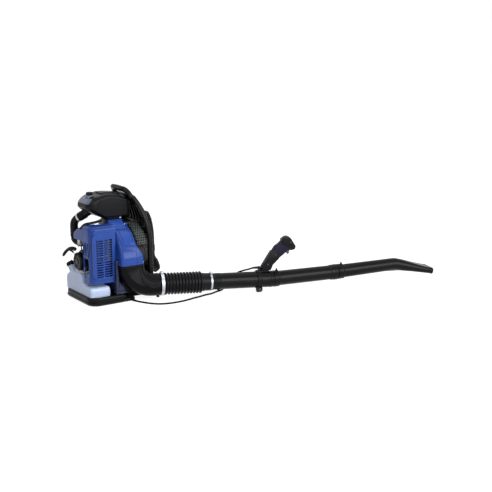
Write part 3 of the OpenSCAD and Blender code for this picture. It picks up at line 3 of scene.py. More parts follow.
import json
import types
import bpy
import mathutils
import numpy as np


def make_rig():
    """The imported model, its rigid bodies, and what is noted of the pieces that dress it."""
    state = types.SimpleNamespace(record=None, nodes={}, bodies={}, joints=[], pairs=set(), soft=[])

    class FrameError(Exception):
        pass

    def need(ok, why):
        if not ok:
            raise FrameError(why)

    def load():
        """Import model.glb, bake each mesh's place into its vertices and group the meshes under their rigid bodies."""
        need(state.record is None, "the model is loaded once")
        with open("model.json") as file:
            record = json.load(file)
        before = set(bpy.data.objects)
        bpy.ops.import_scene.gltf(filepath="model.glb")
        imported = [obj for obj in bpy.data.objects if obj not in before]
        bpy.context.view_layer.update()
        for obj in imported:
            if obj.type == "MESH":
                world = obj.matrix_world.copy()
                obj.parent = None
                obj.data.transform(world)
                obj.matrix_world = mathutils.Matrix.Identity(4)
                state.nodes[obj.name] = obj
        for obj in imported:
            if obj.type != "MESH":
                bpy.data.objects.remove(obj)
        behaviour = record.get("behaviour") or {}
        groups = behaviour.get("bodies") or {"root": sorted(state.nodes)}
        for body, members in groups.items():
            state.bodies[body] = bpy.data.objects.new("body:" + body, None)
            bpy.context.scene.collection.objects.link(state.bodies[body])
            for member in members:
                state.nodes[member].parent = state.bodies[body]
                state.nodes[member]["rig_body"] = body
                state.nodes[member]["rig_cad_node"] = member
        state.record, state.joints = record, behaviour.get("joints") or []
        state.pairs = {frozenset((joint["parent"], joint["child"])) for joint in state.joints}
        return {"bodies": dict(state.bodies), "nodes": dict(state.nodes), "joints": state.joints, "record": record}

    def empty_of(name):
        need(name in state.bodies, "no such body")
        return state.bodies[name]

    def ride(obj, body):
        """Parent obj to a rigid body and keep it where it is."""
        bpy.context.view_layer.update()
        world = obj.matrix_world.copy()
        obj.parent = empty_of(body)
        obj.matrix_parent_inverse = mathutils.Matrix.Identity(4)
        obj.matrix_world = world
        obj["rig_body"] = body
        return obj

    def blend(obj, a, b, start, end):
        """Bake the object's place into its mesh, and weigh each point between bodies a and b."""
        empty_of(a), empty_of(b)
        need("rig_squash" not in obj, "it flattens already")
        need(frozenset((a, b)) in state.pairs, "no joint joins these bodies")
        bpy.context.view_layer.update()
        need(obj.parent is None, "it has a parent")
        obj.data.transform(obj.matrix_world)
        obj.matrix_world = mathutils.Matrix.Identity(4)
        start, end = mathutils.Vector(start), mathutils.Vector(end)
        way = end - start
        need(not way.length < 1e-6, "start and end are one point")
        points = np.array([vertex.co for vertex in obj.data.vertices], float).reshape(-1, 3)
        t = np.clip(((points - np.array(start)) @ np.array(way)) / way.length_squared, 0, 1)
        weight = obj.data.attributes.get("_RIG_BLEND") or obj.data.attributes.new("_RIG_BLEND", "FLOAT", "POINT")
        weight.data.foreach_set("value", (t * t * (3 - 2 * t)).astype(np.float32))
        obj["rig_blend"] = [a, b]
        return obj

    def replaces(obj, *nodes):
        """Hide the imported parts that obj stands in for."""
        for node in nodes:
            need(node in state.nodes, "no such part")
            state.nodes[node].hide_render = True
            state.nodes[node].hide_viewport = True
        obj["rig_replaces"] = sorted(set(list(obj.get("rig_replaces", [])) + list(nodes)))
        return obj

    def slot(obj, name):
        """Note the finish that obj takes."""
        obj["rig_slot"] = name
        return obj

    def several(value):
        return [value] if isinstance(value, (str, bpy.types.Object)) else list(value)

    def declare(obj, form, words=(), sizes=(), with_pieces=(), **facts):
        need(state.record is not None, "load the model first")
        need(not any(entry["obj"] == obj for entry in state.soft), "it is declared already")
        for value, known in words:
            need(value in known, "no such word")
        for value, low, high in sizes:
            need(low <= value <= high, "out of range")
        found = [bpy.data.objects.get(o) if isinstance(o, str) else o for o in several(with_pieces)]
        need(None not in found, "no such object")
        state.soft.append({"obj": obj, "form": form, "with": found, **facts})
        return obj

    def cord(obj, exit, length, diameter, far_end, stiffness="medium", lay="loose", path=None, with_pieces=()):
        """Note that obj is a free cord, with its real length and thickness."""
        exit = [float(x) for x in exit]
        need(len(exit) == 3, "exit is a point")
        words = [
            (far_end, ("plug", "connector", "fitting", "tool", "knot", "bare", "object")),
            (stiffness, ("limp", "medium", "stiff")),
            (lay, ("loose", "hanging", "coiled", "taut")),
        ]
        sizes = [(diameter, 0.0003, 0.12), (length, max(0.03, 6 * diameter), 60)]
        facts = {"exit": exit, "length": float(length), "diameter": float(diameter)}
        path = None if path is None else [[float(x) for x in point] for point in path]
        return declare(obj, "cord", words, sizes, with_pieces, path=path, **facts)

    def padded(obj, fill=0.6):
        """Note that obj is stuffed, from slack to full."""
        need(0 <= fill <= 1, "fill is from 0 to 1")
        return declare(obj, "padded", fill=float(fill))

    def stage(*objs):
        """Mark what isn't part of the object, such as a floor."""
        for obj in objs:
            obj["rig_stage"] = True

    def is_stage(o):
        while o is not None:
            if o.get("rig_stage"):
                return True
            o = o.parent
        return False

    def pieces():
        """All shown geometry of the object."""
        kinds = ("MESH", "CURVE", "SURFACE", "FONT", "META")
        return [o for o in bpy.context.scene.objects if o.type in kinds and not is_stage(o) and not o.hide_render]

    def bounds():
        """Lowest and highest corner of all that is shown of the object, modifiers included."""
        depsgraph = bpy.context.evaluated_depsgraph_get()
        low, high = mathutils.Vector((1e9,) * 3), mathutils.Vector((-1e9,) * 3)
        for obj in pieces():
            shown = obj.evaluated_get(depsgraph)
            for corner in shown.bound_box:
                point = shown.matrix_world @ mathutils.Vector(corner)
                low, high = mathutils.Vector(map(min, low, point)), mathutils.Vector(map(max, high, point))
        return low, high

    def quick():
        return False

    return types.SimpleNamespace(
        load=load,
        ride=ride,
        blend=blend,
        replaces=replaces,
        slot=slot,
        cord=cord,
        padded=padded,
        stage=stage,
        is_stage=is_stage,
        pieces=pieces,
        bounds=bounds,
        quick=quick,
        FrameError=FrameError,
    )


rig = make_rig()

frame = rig.load()

import json
from math import cos, pi, radians, sin, sqrt, tan
import bmesh
import bpy
from mathutils import Matrix, Vector

cad_box = [list(v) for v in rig.bounds()]
scene = bpy.context.scene
MM = 0.001
X_AXIS, Y_AXIS, UP = (1, 0, 0), (0, 1, 0), (0, 0, 1)
# where slab puts an outline's two directions and its height
ON_X, ON_Y = (lambda a, b, h: (h, a, b)), (lambda a, b, h: (a, h, b))


def basis(origin, x, y, z):
    """Frame in millimetres with its origin and three axes, as a matrix to metres."""
    m = Matrix((x, y, z)).transposed().to_4x4()
    m.translation = Vector(origin)
    return Matrix.Scale(MM, 4) @ m


ROW = basis((0, 0, 0), X_AXIS, Y_AXIS, UP)
CRANK_Z = 195
CRANK = basis((0, 0, CRANK_Z), X_AXIS, Y_AXIS, UP)

# --- blow tube frames: X along the tube, Y left, Z up ---
YAW, SLOPE = radians(18.3), -1.7
JOINT_1, JOINT_2, NOZZLE_BEND = 560, 345, 325
ELBOW_R, ELBOW_STRAIGHT = 109, 42
DUCT_X, DUCT_Y = 23, -148.5     # middle of the fan's outlet duct
REACH = ELBOW_STRAIGHT + ELBOW_R
TUBE_ORIGIN = Vector((DUCT_X + REACH * cos(YAW), DUCT_Y - REACH * sin(YAW), 76))


def tube_basis(origin, slope):
    a = radians(slope)
    return basis(origin, (cos(a) * cos(YAW), -cos(a) * sin(YAW), sin(a)), (sin(YAW), cos(YAW), 0),
                 (-sin(a) * cos(YAW), sin(a) * sin(YAW), cos(a)))


TUBE = tube_basis(TUBE_ORIGIN, SLOPE)
TUBE_2 = tube_basis((TUBE @ Vector((JOINT_1, 0, 0))) / MM, SLOPE + 3.5)
NOZZLE = tube_basis((TUBE_2 @ Vector((JOINT_2, 0, 0))) / MM, SLOPE + 4.9)
ELBOW = tube_basis(TUBE_ORIGIN, 0)


def on(frame_matrix, *p):
    """A point of a frame, in metres in the row frame."""
    return tuple(frame_matrix @ Vector(p))


# --- camera, at the photograph's viewing angle ---
AZIMUTH, ELEVATION = radians(35.5), radians(12.3)
camera = bpy.data.objects.new("camera", bpy.data.cameras.new("camera"))
scene.collection.objects.link(camera)
camera.location = (-1.92975, -3.83217, 1.17272)
camera.rotation_euler = Vector((sin(AZIMUTH) * cos(ELEVATION), cos(AZIMUTH) * cos(ELEVATION), -sin(ELEVATION))
                               ).to_track_quat("-Z", "Y").to_euler()
camera.data.lens = 36 * 900 / 492
camera.data.clip_end = 50
scene.camera = camera
scene.view_settings.view_transform = "Standard"


# --- materials ---
def node_kit(tree):
    """Short calls for nodes: make one, and link two sockets."""
    def new(kind, **values):
        node = tree.nodes.new("ShaderNode" + kind)
        for key, value in values.items():
            if hasattr(node, key):
                setattr(node, key, value)
            else:
                node.inputs[key.replace("_", " ")].default_value = value
        return node

    def link(a, a_socket, b, b_socket):
        tree.links.new(a.outputs[a_socket], b.inputs[b_socket])

    return new, link


def noise(new, link, where, scale, detail=3.0):
    n = new("TexNoise", Scale=scale, Detail=detail, Roughness=0.55)
    link(where, "Object", n, "Vector")
    return n


def ramp(new, link, source, socket, *stops):
    """Colours between two stops of (place, colour)."""
    node = new("ValToRGB")
    for element, (position, color) in zip(node.color_ramp.elements, stops):
        element.position, element.color = position, (*color, 1)
    link(source, socket, node, "Fac")
    return node


FINISH, HOME_SLOT = {}, {}


def surface(name, slot, color, rough=0.45, metallic=0.0, specular=0.5, coat=0.0, sheen=0.0, grain=900.0, bump=0.15,
            mottle=0.12, streak=None, wear=0.35, transmission=0.0, subsurface=0.0, weave=0.0):
    """A material whose colour, roughness and fine relief vary as the real surface's do, and its usual slot.
    grain is the relief's scale per metre, wear lightens raised edges, weave adds crossed threads."""
    mat = bpy.data.materials.new(name)
    mat.use_nodes = True
    mat.diffuse_color = (*color, 1)
    FINISH.setdefault(slot, mat)
    HOME_SLOT[mat.name] = slot
    tree = mat.node_tree
    new, link = node_kit(tree)
    bsdf = tree.nodes["Principled BSDF"]
    where = new("TexCoord")
    tint = ramp(new, link, noise(new, link, where, 9.0, 4.0), "Fac", (0.3, [c * (1 - mottle) for c in color]),
                (0.7, [min(1, c * (1 + mottle)) for c in color]))
    out = tint, "Color"
    if wear:
        # edges rubbed lighter
        edge = ramp(new, link, new("NewGeometry"), "Pointiness", (0.54, (0, 0, 0)), (0.66, (wear, wear, wear)))
        rubbed = new("Mix", data_type="RGBA")
        rubbed.inputs[7].default_value = (*(min(1, c * 1.5 + 0.02) for c in color), 1)
        link(edge, "Color", rubbed, 0)
        link(tint, "Color", rubbed, 6)
        out = rubbed, 2
    link(*out, bsdf, "Base Color")
    level = new("MapRange", To_Min=max(0.02, rough - 0.07), To_Max=min(1, rough + 0.09))
    link(noise(new, link, where, 38.0, 5.0), "Fac", level, "Value")
    link(level, "Result", bsdf, "Roughness")
    height = noise(new, link, where, grain, 2.0), "Fac"
    if streak:
        # brushed or drawn lines across one axis
        squeeze = new("Mapping")
        squeeze.inputs["Scale"].default_value = streak
        link(where, "Object", squeeze, "Vector")
        lines = new("TexNoise", Scale=1.0, Detail=3.0)
        link(squeeze, "Vector", lines, "Vector")
        height = lines, "Fac"
    if weave:
        cross = new("Math", operation="MAXIMUM")
        for i, direction in enumerate(("X", "Z")):
            threads = new("TexWave", Scale=weave, bands_direction=direction)
            link(where, "Object", threads, "Vector")
            link(threads, "Fac", cross, i)
        height = cross, "Value"
    relief = new("Bump", Strength=bump, Distance=0.0004)
    link(*height, relief, "Height")
    link(relief, "Normal", bsdf, "Normal")
    for socket, value in (("Metallic", metallic), ("Specular IOR Level", specular), ("Coat Weight", coat),
                          ("Sheen Weight", sheen), ("Transmission Weight", transmission),
                          ("Subsurface Weight", subsurface)):
        bsdf.inputs[socket].default_value = value
    if coat:
        bsdf.inputs["Coat Roughness"].default_value = 0.12
    if subsurface:
        bsdf.inputs["Subsurface Radius"].default_value = (0.012, 0.012, 0.014)
        bsdf.inputs["Subsurface Scale"].default_value = 1.0
    return mat


BLACK = surface("moulded black plastic", "black_plastic", (0.0038, 0.0041, 0.0050), 0.34, specular=0.12)
FRAME_BLACK = surface("frame plastic", "black_plastic", (0.0040, 0.0042, 0.0050), 0.28, specular=0.15, grain=700)
ELBOW_BLACK = surface("dull moulded black plastic", "black_plastic", (0.0040, 0.0043, 0.0052), 0.32, specular=0.07)
GLOSS_BLACK = surface("smooth black plastic", "gloss_black_plastic", (0.0026, 0.0028, 0.0034), 0.26, specular=0.14,
                      bump=0.05, grain=500)
SLATE = surface("slate tinted gloss plastic", "blue_black_plastic", (0.085, 0.115, 0.19), 0.18, specular=0.5, coat=0.2,
                bump=0.03, grain=400)
BLUE = surface("royal blue plastic", "blue_plastic", (0.0125, 0.053, 0.275), 0.22, specular=0.18, coat=0.04, bump=0.05,
               grain=600,
               mottle=0.08, wear=0.5)
NAVY = surface("navy plastic", "blue_plastic", (0.006, 0.013, 0.05), 0.3, specular=0.4, bump=0.05, grain=600)
GRIP_BODY = surface("grip plastic", "grip_plastic", (0.0085, 0.0065, 0.022), 0.40, specular=0.14)
TANK = surface("milky tank plastic", "tank_plastic", (0.58, 0.69, 0.96), 0.32, bump=0.06, grain=300, mottle=0.04,
               wear=0.0, subsurface=0.35)
HOSE_RUBBER = surface("hose rubber", "hose_rubber", (0.0045, 0.0040, 0.0062), 0.32, specular=0.13, bump=0.08, grain=500)
RUBBER = surface("mount rubber", "mount_rubber", (0.012, 0.012, 0.012), 0.7, specular=0.25)
surface("primer rubber", "bulb_rubber", (0.55, 0.66, 0.58), 0.3, bump=0.03, subsurface=0.2)
surface("fuel hose", "line_rubber", (0.20, 0.15, 0.05), 0.3, bump=0.03, transmission=0.3)
FOAM = surface("pad mesh cloth", "pad_foam", (0.012, 0.012, 0.014), 0.85, specular=0.2, sheen=0.3, bump=0.9, weave=420,
               wear=0.0)
WEBBING = surface("strap cloth", "strap_webbing", (0.010, 0.010, 0.012), 0.8, specular=0.2, sheen=0.3, bump=0.8,
                  weave=300, wear=0.2)
ZINC = surface("zinc-plated steel", "bright_steel", (0.44, 0.46, 0.50), 0.34, 1.0, bump=0.05, streak=(60, 900, 60),
               mottle=0.05, wear=0.2)
surface("ground steel", "shaft_steel", (0.50, 0.50, 0.52), 0.22, 1.0, bump=0.06, streak=(900, 30, 30), mottle=0.05,
        wear=0.2)
SPRING = surface("spring steel", "spring_steel", (0.32, 0.33, 0.38), 0.3, 1.0, bump=0.05, mottle=0.1, wear=0.2)
surface("cast aluminium", "cast_aluminium", (0.28, 0.28, 0.30), 0.5, 1.0, bump=0.5, grain=600, mottle=0.1, wear=0.4)
surface("heat-proof paint", "muffler_metal", (0.17, 0.165, 0.155), 0.65, 0.4, bump=0.3, grain=500, mottle=0.25,
        wear=0.4)
surface("plug ceramic and steel", "plug_steel", (0.78, 0.78, 0.76), 0.2, bump=0.02, mottle=0.04)
surface("switch plastic", "red_plastic", (0.02, 0.02, 0.022), 0.3, bump=0.04)
surface("pleated paper", "filter_paper", (0.70, 0.60, 0.30), 0.9, bump=0.3, wear=0.0)
ROPE = surface("braided rope", "rope_fibre", (0.62, 0.62, 0.60), 0.8, sheen=0.3, bump=0.9, weave=900, wear=0.0)
surface("moulded nylon", "nylon", (0.70, 0.70, 0.66), 0.4, bump=0.05)
CABLE = surface("cable sheath", "hose_rubber", (0.0025, 0.0025, 0.003), 0.5, specular=0.05, bump=0.05)
GUARD = surface("guard mesh plastic", "black_plastic", (0.050, 0.062, 0.058), 0.36, specular=0.35, bump=0.05)
BLACKENED = surface("blackened steel", "black_plastic", (0.05, 0.05, 0.055), 0.38, 1.0, bump=0.05)

SLOT = {s["node"]: s["material_slot"] for s in frame["record"]["subparts"]}


def shade(obj, angle):
    """Smooth faces, with sharp edges above that angle."""
    obj.data.polygons.foreach_set("use_smooth", [True] * len(obj.data.polygons))
    obj.data.set_sharp_from_angle(angle=radians(angle))


def paint(obj, mat):
    obj.data.materials.clear()
    obj.data.materials.append(mat)


for node_name, node in frame["nodes"].items():
    paint(node, BLACKENED if node_name == "grip_screws" else FINISH[SLOT[node_name]])
    shade(node, 32)


# --- shapes ---
def unit(v):
    return Vector(v).normalized()


def round_poly(corners, steps=5):
    """Closed outline with filleted corners. Each corner is (x, y, fillet radius)."""
    out = []
    n = len(corners)
    for i, (x, y, r) in enumerate(corners):
        p = Vector((x, y))
        a = Vector(corners[i - 1][:2]) - p
        b = Vector(corners[(i + 1) % n][:2]) - p
        angle = a.angle(b)
        if r <= 0 or angle > pi - 0.02:
            out.append(p)
            continue
        reach = min(r / tan(angle / 2), a.length * 0.49, b.length * 0.49)
        r = reach * tan(angle / 2)
        centre = p + (a.normalized() + b.normalized()).normalized() * (r / sin(angle / 2))
        start, end = p + a.normalized() * reach - centre, p + b.normalized() * reach - centre
        turn = start.angle_signed(end)
        for k in range(steps + 1):
            t = -turn * k / steps
            out.append(centre + Vector((start.x * cos(t) - start.y * sin(t), start.x * sin(t) + start.y * cos(t))))
    return out


def rounded(a, b, r, steps=6):
    """Centred rounded rectangle with half sizes a and b."""
    r = min(r, a - 0.01, b - 0.01)
    return [Vector((sx * (a - r) + r * cos(t), sy * (b - r) + r * sin(t)))
            for q, (sx, sy) in enumerate(((1, 1), (-1, 1), (-1, -1), (1, -1)))
            for t in (pi / 2 * (q + k / steps) for k in range(steps + 1))]


def moved(outline, dx, dy):
    return [(p[0] + dx, p[1] + dy) for p in outline]


def circle(a, b, n):
    return [(a * cos(2 * pi * i / n), b * sin(2 * pi * i / n)) for i in range(n)]


def smooth(t):
    return t * t * (3 - 2 * t)


def spline(points, k):
    """Catmull-Rom curve through points of any size, k steps between two."""
    p = [Vector(q) for q in points]
    out = []
    for i in range(len(p) - 1):
        a, b, c, d = p[max(i - 1, 0)], p[i], p[i + 1], p[min(i + 2, len(p) - 1)]
        for j in range(k):
            t = j / k
            out.append(0.5 * (2 * b + (c - a) * t + (2 * a - 5 * b + 4 * c - d) * t * t
                              + (3 * b - a - 3 * c + d) * t ** 3))
    return out + [p[-1]]


class Shape:
    """Collects solids in one mesh, in the millimetres of its frame."""

    def __init__(self):
        self.bm = bmesh.new()

    def add(self, points, faces):
        verts = [self.bm.verts.new(p) for p in points]
        for f in faces:
            if len(set(f)) > 2:
                self.bm.faces.new([verts[i] for i in f])
        return self

    def loft(self, rings, caps=True, loop=False):
        """Skin over rings of equally many points."""
        k, n = len(rings[0]), len(rings)
        faces = [(j * k + i, j * k + (i + 1) % k, (j + 1) % n * k + (i + 1) % k, (j + 1) % n * k + i)
                 for j in range(n if loop else n - 1) for i in range(k)]
        if caps and not loop:
            faces += [tuple(range(k))[::-1], tuple(range((n - 1) * k, n * k))]
        return self.add([p for ring in rings for p in ring], faces)

    def lathe(self, profile, sides=64, origin=(0, 0, 0), axis=(1, 0, 0), caps=True, loop=False):
        """Turns a profile of (along, radius) round an axis."""
        axis = unit(axis)
        u = axis.orthogonal().normalized()
        v = axis.cross(u)
        rings = [[Vector(origin) + axis * s + max(r, 0.02) * (u * cos(2 * pi * i / sides) + v * sin(2 * pi * i / sides))
                  for i in range(sides)] for s, r in profile]
        return self.loft(rings, caps, loop)

    def sweep(self, path, section, up=(0, 0, 1), caps=True, loop=False, scale=None):
        """Carries a flat section (list of (side, up)) or a round of that radius along a path."""
        if not hasattr(section, "__len__"):
            section = circle(section, section, 16)
        path = [Vector(p) for p in path]
        n = len(path)
        rings, side = [], None
        for i in range(n):
            ahead = path[(i + 1) % n if loop else min(i + 1, n - 1)] - path[i - 1 if loop or i else 0]
            ahead.normalize()
            if side is None:
                side = ahead.cross(Vector(up)).normalized()
            side = (side - ahead * side.dot(ahead)).normalized()
            above = side.cross(ahead)
            k = scale[i] if scale else 1
            rings.append([path[i] + side * a * k + above * b * k for a, b in section])
        return self.loft(rings, caps, loop)

    def slab(self, outline, low, high, place=lambda x, y, z: (x, y, z)):
        """A flat outline drawn from low to high along the third axis of place."""
        return self.loft([[place(p[0], p[1], h) for p in outline] for h in (low, high)])

    def box(self, a, b, r=0, steps=3):
        """A box between two corners, with round edges."""
        part = bmesh.new()
        bmesh.ops.create_cube(part, size=1)
        size = [abs(q - p) for p, q in zip(a, b)]
        for v in part.verts:
            v.co = Vector([(p + q) / 2 + c * s for p, q, c, s in zip(a, b, v.co, size)])
        if r:
            bmesh.ops.bevel(part, geom=part.edges[:], offset=r, segments=steps, profile=0.5, affect="EDGES")
        return self.take(part)

    def take(self, part):
        """Adds another bmesh's faces."""
        part.verts.index_update()
        self.add([v.co for v in part.verts], [tuple(v.index for v in f.verts) for f in part.faces])
        part.free()
        return self

    def turned(self, matrix):
        bmesh.ops.transform(self.bm, matrix=matrix, verts=self.bm.verts[:])
        return self


def place(shape, name, where=ROW, mat=None):
    """An object from a shape, with faces outwards."""
    bm = shape.bm
    bm.transform(where)
    bmesh.ops.remove_doubles(bm, verts=bm.verts[:], dist=1e-6)
    bmesh.ops.recalc_face_normals(bm, faces=bm.faces[:])
    mesh = bpy.data.meshes.new(name)
    bm.to_mesh(mesh)
    bm.free()
    obj = bpy.data.objects.new(name, mesh)
    scene.collection.objects.link(obj)
    if mat:
        mesh.materials.append(mat)
    return obj


def modify(obj, kind, **values):
    m = obj.modifiers.new(kind, kind)
    for key, value in values.items():
        setattr(m, key, value)
    return m


def apply_all(obj):
    """Bakes the modifiers into the mesh."""
    bpy.context.view_layer.update()
    mesh = bpy.data.meshes.new_from_object(obj.evaluated_get(bpy.context.evaluated_depsgraph_get()))
    obj.modifiers.clear()
    old, obj.data = obj.data, mesh
    bpy.data.meshes.remove(old)
    return obj


def cut(obj, *shapes, where=ROW, operation="DIFFERENCE"):
    """Takes shapes out of obj, or joins them to it, for good."""
    for shape in shapes:
        tool = place(shape, "tool", where)
        modify(obj, "BOOLEAN", operation=operation, solver="EXACT", object=tool)
        apply_all(obj)
        bpy.data.objects.remove(tool)
    return obj


def dress(obj, body, slot, *nodes, bevel=0.0, segments=2, angle=35, subdivide=0):
    """Last steps of a piece: soft edges, smooth shading, its body, its slot and the nodes that it stands for."""
    if subdivide:
        modify(obj, "SUBSURF", levels=subdivide, render_levels=subdivide)
    if bevel:
        modify(obj, "BEVEL", width=bevel * MM, segments=segments, limit_method="ANGLE", angle_limit=radians(angle),
               harden_normals=False, use_clamp_overlap=True)
    if obj.modifiers:
        apply_all(obj)
    shade(obj, angle)
    if body:
        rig.ride(obj, body)
    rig.slot(obj, slot or HOME_SLOT[obj.data.materials[0].name])
    if nodes:
        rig.replaces(obj, *nodes)
    return obj


def piece(shape, name, mat, *nodes, at=ROW, body="machine", slot=None, **finish):
    """A shape placed in a frame and finished. Its slot is its material's usual one unless another is given."""
    return dress(place(shape, name, at, mat), body, slot, *nodes, **finish)


def bent(shape, name, mat, node, bodies, ends, at=ROW, angle=50):
    """A flexible piece that bends between two bodies, over the stretch between two points."""
    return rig.blend(piece(shape, name, mat, node, at=at, body=None, angle=angle), *bodies, *ends)


# --- cords first ---
LOWER = [(36, -143.2, 7), (36, -150, 7), (38, -161, 6.5), (47, -182, 5), (62, -212, 4.5), (82, -248, 4.5),
         (112, -277, 4.5), (150, -292, 4.5), (200, -297, 4.5), (245, -296, 5.5), (280, -294.5, 8)]
UPPER = [(175, -48, -60), (210, -38, -55), (242, -28, -53), (263, -21, -48), (280, -19, -44), (305, 10, -46.5),
         (332, 35, -31), (358, 46.5, 0), (386, 39, 27), (412, 22, 42), (438, 7, 52), (458, 1, 59), (474, 0, 60),
         (487.9, 0, 60)]
CABLE_D = 8.5


def stretch(s0, s1):
    """The two ends of a stretch of the hose, along the tube's line."""
    return on(TUBE, s0, 0, 0), on(TUBE, s1, 0, 0)


YAW_BEND, PITCH_BEND, CABLE_BEND = stretch(14, 106), stretch(106, 200), stretch(142, 200)


def cable(name, route, node, bodies, ends, start):
    path = spline(route, 3)
    obj = bent(Shape().sweep(path, CABLE_D / 2), name, CABLE, node, bodies, ends, angle=60)
    metres = [p * MM for p in path]
    length = sum((b - a).length for a, b in zip(metres, metres[1:]))
    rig.cord(obj, exit=[c * MM for c in start], length=round(length, 3), diameter=CABLE_D * MM, far_end="object",
            stiffness="medium", lay="loose", path=metres)


lower_path = [Vector(p) for p in LOWER]
upper_path = [lower_path[-1] + Vector((1.2, 0.2, 0.3))] + [(TUBE @ Vector(p)) / MM for p in UPPER]
cable("throttle_cable_lower_run", lower_path, "throttle_cable_lower", ("machine", "hose"), YAW_BEND, LOWER[0])
cable("throttle_cable_upper_run", upper_path, "throttle_cable_upper", ("hose", "blow_tube"), CABLE_BEND, LOWER[-1])

# --- blow tube ---
HOSE_R, ROOT_R, RIDGES, PITCH, RIDGE_S0 = 53.5, 45.5, 12, 15.5, 14
HOSE_BORE, TUBE_R, TUBE_BORE, SPIGOT_R = 43.5, 40, 37.5, 50.5
TUBE_2_R, NOZZLE_R = 38.4, 37.4                 # second tube's front socket, nozzle's rear collar
SPLIT = RIDGE_S0 + 5.8 * PITCH                  # the two hose pieces meet in a groove


def ridge(s):
    """One ridge of the hose: steep rear side, rounded crown, then the groove."""
    top, foot = HOSE_R, ROOT_R
    return [(s, foot), (s + 0.7, foot + 2.2), (s + 1.4, top - 1.8), (s + 2.6, top - 0.4), (s + 4.4, top),
            (s + 6.4, top - 0.4), (s + 7.8, top - 1.8), (s + 8.6, foot + 2.2), (s + 9.4, foot), (s + 12.4, foot - 0.5)]


def hose_piece(name, outer, bore, bodies, ends):
    (s0, r0), (s1, r1) = outer[0], outer[-1]
    shape = Shape().lathe(outer + [(s1, r1 - 2.4)] + bore[::-1] + [(s0, r0 - 2.4)], 72, loop=True)
    bent(shape, name, HOSE_RUBBER, "flexible_hose", bodies, ends, at=TUBE)


rear_cuff = [(-9, 52.2), (-8.2, 53.0), (7.5, 53.2), (8.5, 54.6), (11.5, 54.8), (12.6, 53.4)]
front_cuff = [(201, 44.6), (204, 45.2), (207, 44.8), (210, 43.4), (230, 43.2), (234, 43.0), (249, 43.0), (251.4, 42.4),
              (252, 41.6)]
ridges = [ridge(RIDGE_S0 + i * PITCH) for i in range(RIDGES)]
first, second = sum(ridges[:6], []), sum(ridges[6:], [])
groove = [(SPLIT, ROOT_R - 0.5)]
hose_piece("hose_rear_half", rear_cuff + first[:-1] + groove,
           [(-8, SPIGOT_R + 0.1), (RIDGE_S0 - 2, SPIGOT_R + 0.1), (RIDGE_S0 - 1, HOSE_BORE), (SPLIT - 1, HOSE_BORE)],
           ("machine", "hose"), YAW_BEND)
hose_piece("hose_front_half", groove + second[:-1] + front_cuff,
           [(SPLIT + 1, HOSE_BORE), (197, HOSE_BORE), (199, TUBE_R + 0.1), (251, TUBE_R + 0.1)],
           ("hose", "blow_tube"), PITCH_BEND)


def clamp_band(name, middle, radius, width, lug_turn, body, *nodes):
    """Worm-drive clamp: thin band, raised screw housing and its screw."""
    s0, s1 = middle - width / 2, middle + width / 2
    rear = [(s0, radius), (s0 + 0.4, radius + 1.0), (s0 + 1.6, radius + 1.2), (middle - 1, radius + 0.9)]
    band = Shape().lathe(rear + [(2 * middle - s, r) for s, r in rear[::-1]], 72, loop=True)
    screw = Shape().slab([p + Vector((0, radius + 3.6)) for p in rounded(7.5, 3.6, 3.2)], s0 - 0.5, s1 + 0.5, ON_X)
    screw.lathe([(-13, 2.2), (-12.6, 3.6), (-9.4, 3.9), (-9.0, 2.6), (9, 2.6), (9.4, 3.2), (11, 3.2), (11.4, 2.4)], 20,
                (middle, 0, radius + 3.8), Y_AXIS)
    screw.turned(Matrix.Rotation(radians(lug_turn), 4, "X"))
    piece(band, name, ZINC, *nodes, at=TUBE, body=body, angle=40)
    piece(screw, name + "_screw", ZINC, at=TUBE, body=body, bevel=0.4, angle=40)


clamp_band("elbow_clamp", -2, 53.35, 5.6, 0, "machine")
clamp_band("tube_clamp_band", 241.5, 43.2, 9, 8, "blow_tube", "tube_clamp")


def tube_piece(name, where, profile, bore, body, node, *details):
    """A moulded tube: outer profile, bore, and raised details joined to it."""
    obj = place(Shape().lathe(profile + bore[::-1], 72, loop=True), name, where, GLOSS_BLACK)
    cut(obj, *details, where=where, operation="UNION")
    dress(obj, body, None, node, bevel=0.3, angle=38)


def bead(s, radius, height=1.5, width=4):
    """A rounded rib round a tube."""
    return [(s, radius), (s + 0.7, radius + height * 0.75), (s + width / 2, radius + height),
            (s + width - 0.7, radius + height * 0.75), (s + width, radius)]


def beads(starts, radius, *size):
    return [p for s in starts for p in bead(s, radius, *size)]


def seam_lines(s0, radius, s1, radius_2):
    """Mould parting lines on both sides of a tube."""
    shape = Shape()
    for side in (-1, 1):
        shape.loft([[(s, side * (r + out), z) for out, z in ((-0.6, -0.7), (0.45, -0.35), (0.45, 0.35), (-0.6, 0.7))]
                    for s, r in ((s0, radius), (s1, radius_2))])
    return shape


def peg(s, radius):
    """Locking peg of a bayonet joint, on a low pad."""
    profile = [(-3, 8), (1.6, 8), (2.2, 7.2), (2.6, 5), (10, 3.6), (11.4, 3), (12, 1.8)]
    return Shape().lathe([(radius + h, r) for h, r in profile], 24, (s, 0, 0), UP)


tube_piece("first_tube", TUBE,
           [(222, 39.2), (222.8, TUBE_R)] + beads((264, 271, 278, 285), TUBE_R, 1.5, 3) + [(440, TUBE_R)]
           + beads((542, 552), TUBE_R) + [(559.4, TUBE_R), (560, 39.4)],
           [(222, TUBE_BORE), (560, TUBE_BORE)], "blow_tube", "tube_1", seam_lines(300, TUBE_R, 540, TUBE_R))
# saddle that holds the cable under the tube
saddle = Shape().box((-6, -7, 38.8), (6, 7, 43.6), 1.5)
saddle.turned(Matrix.Translation((280, 0, 0)) @ Matrix.Rotation(radians(157), 4, "X"))
piece(saddle, "cable_saddle", GLOSS_BLACK, at=TUBE, body="blow_tube", angle=40)

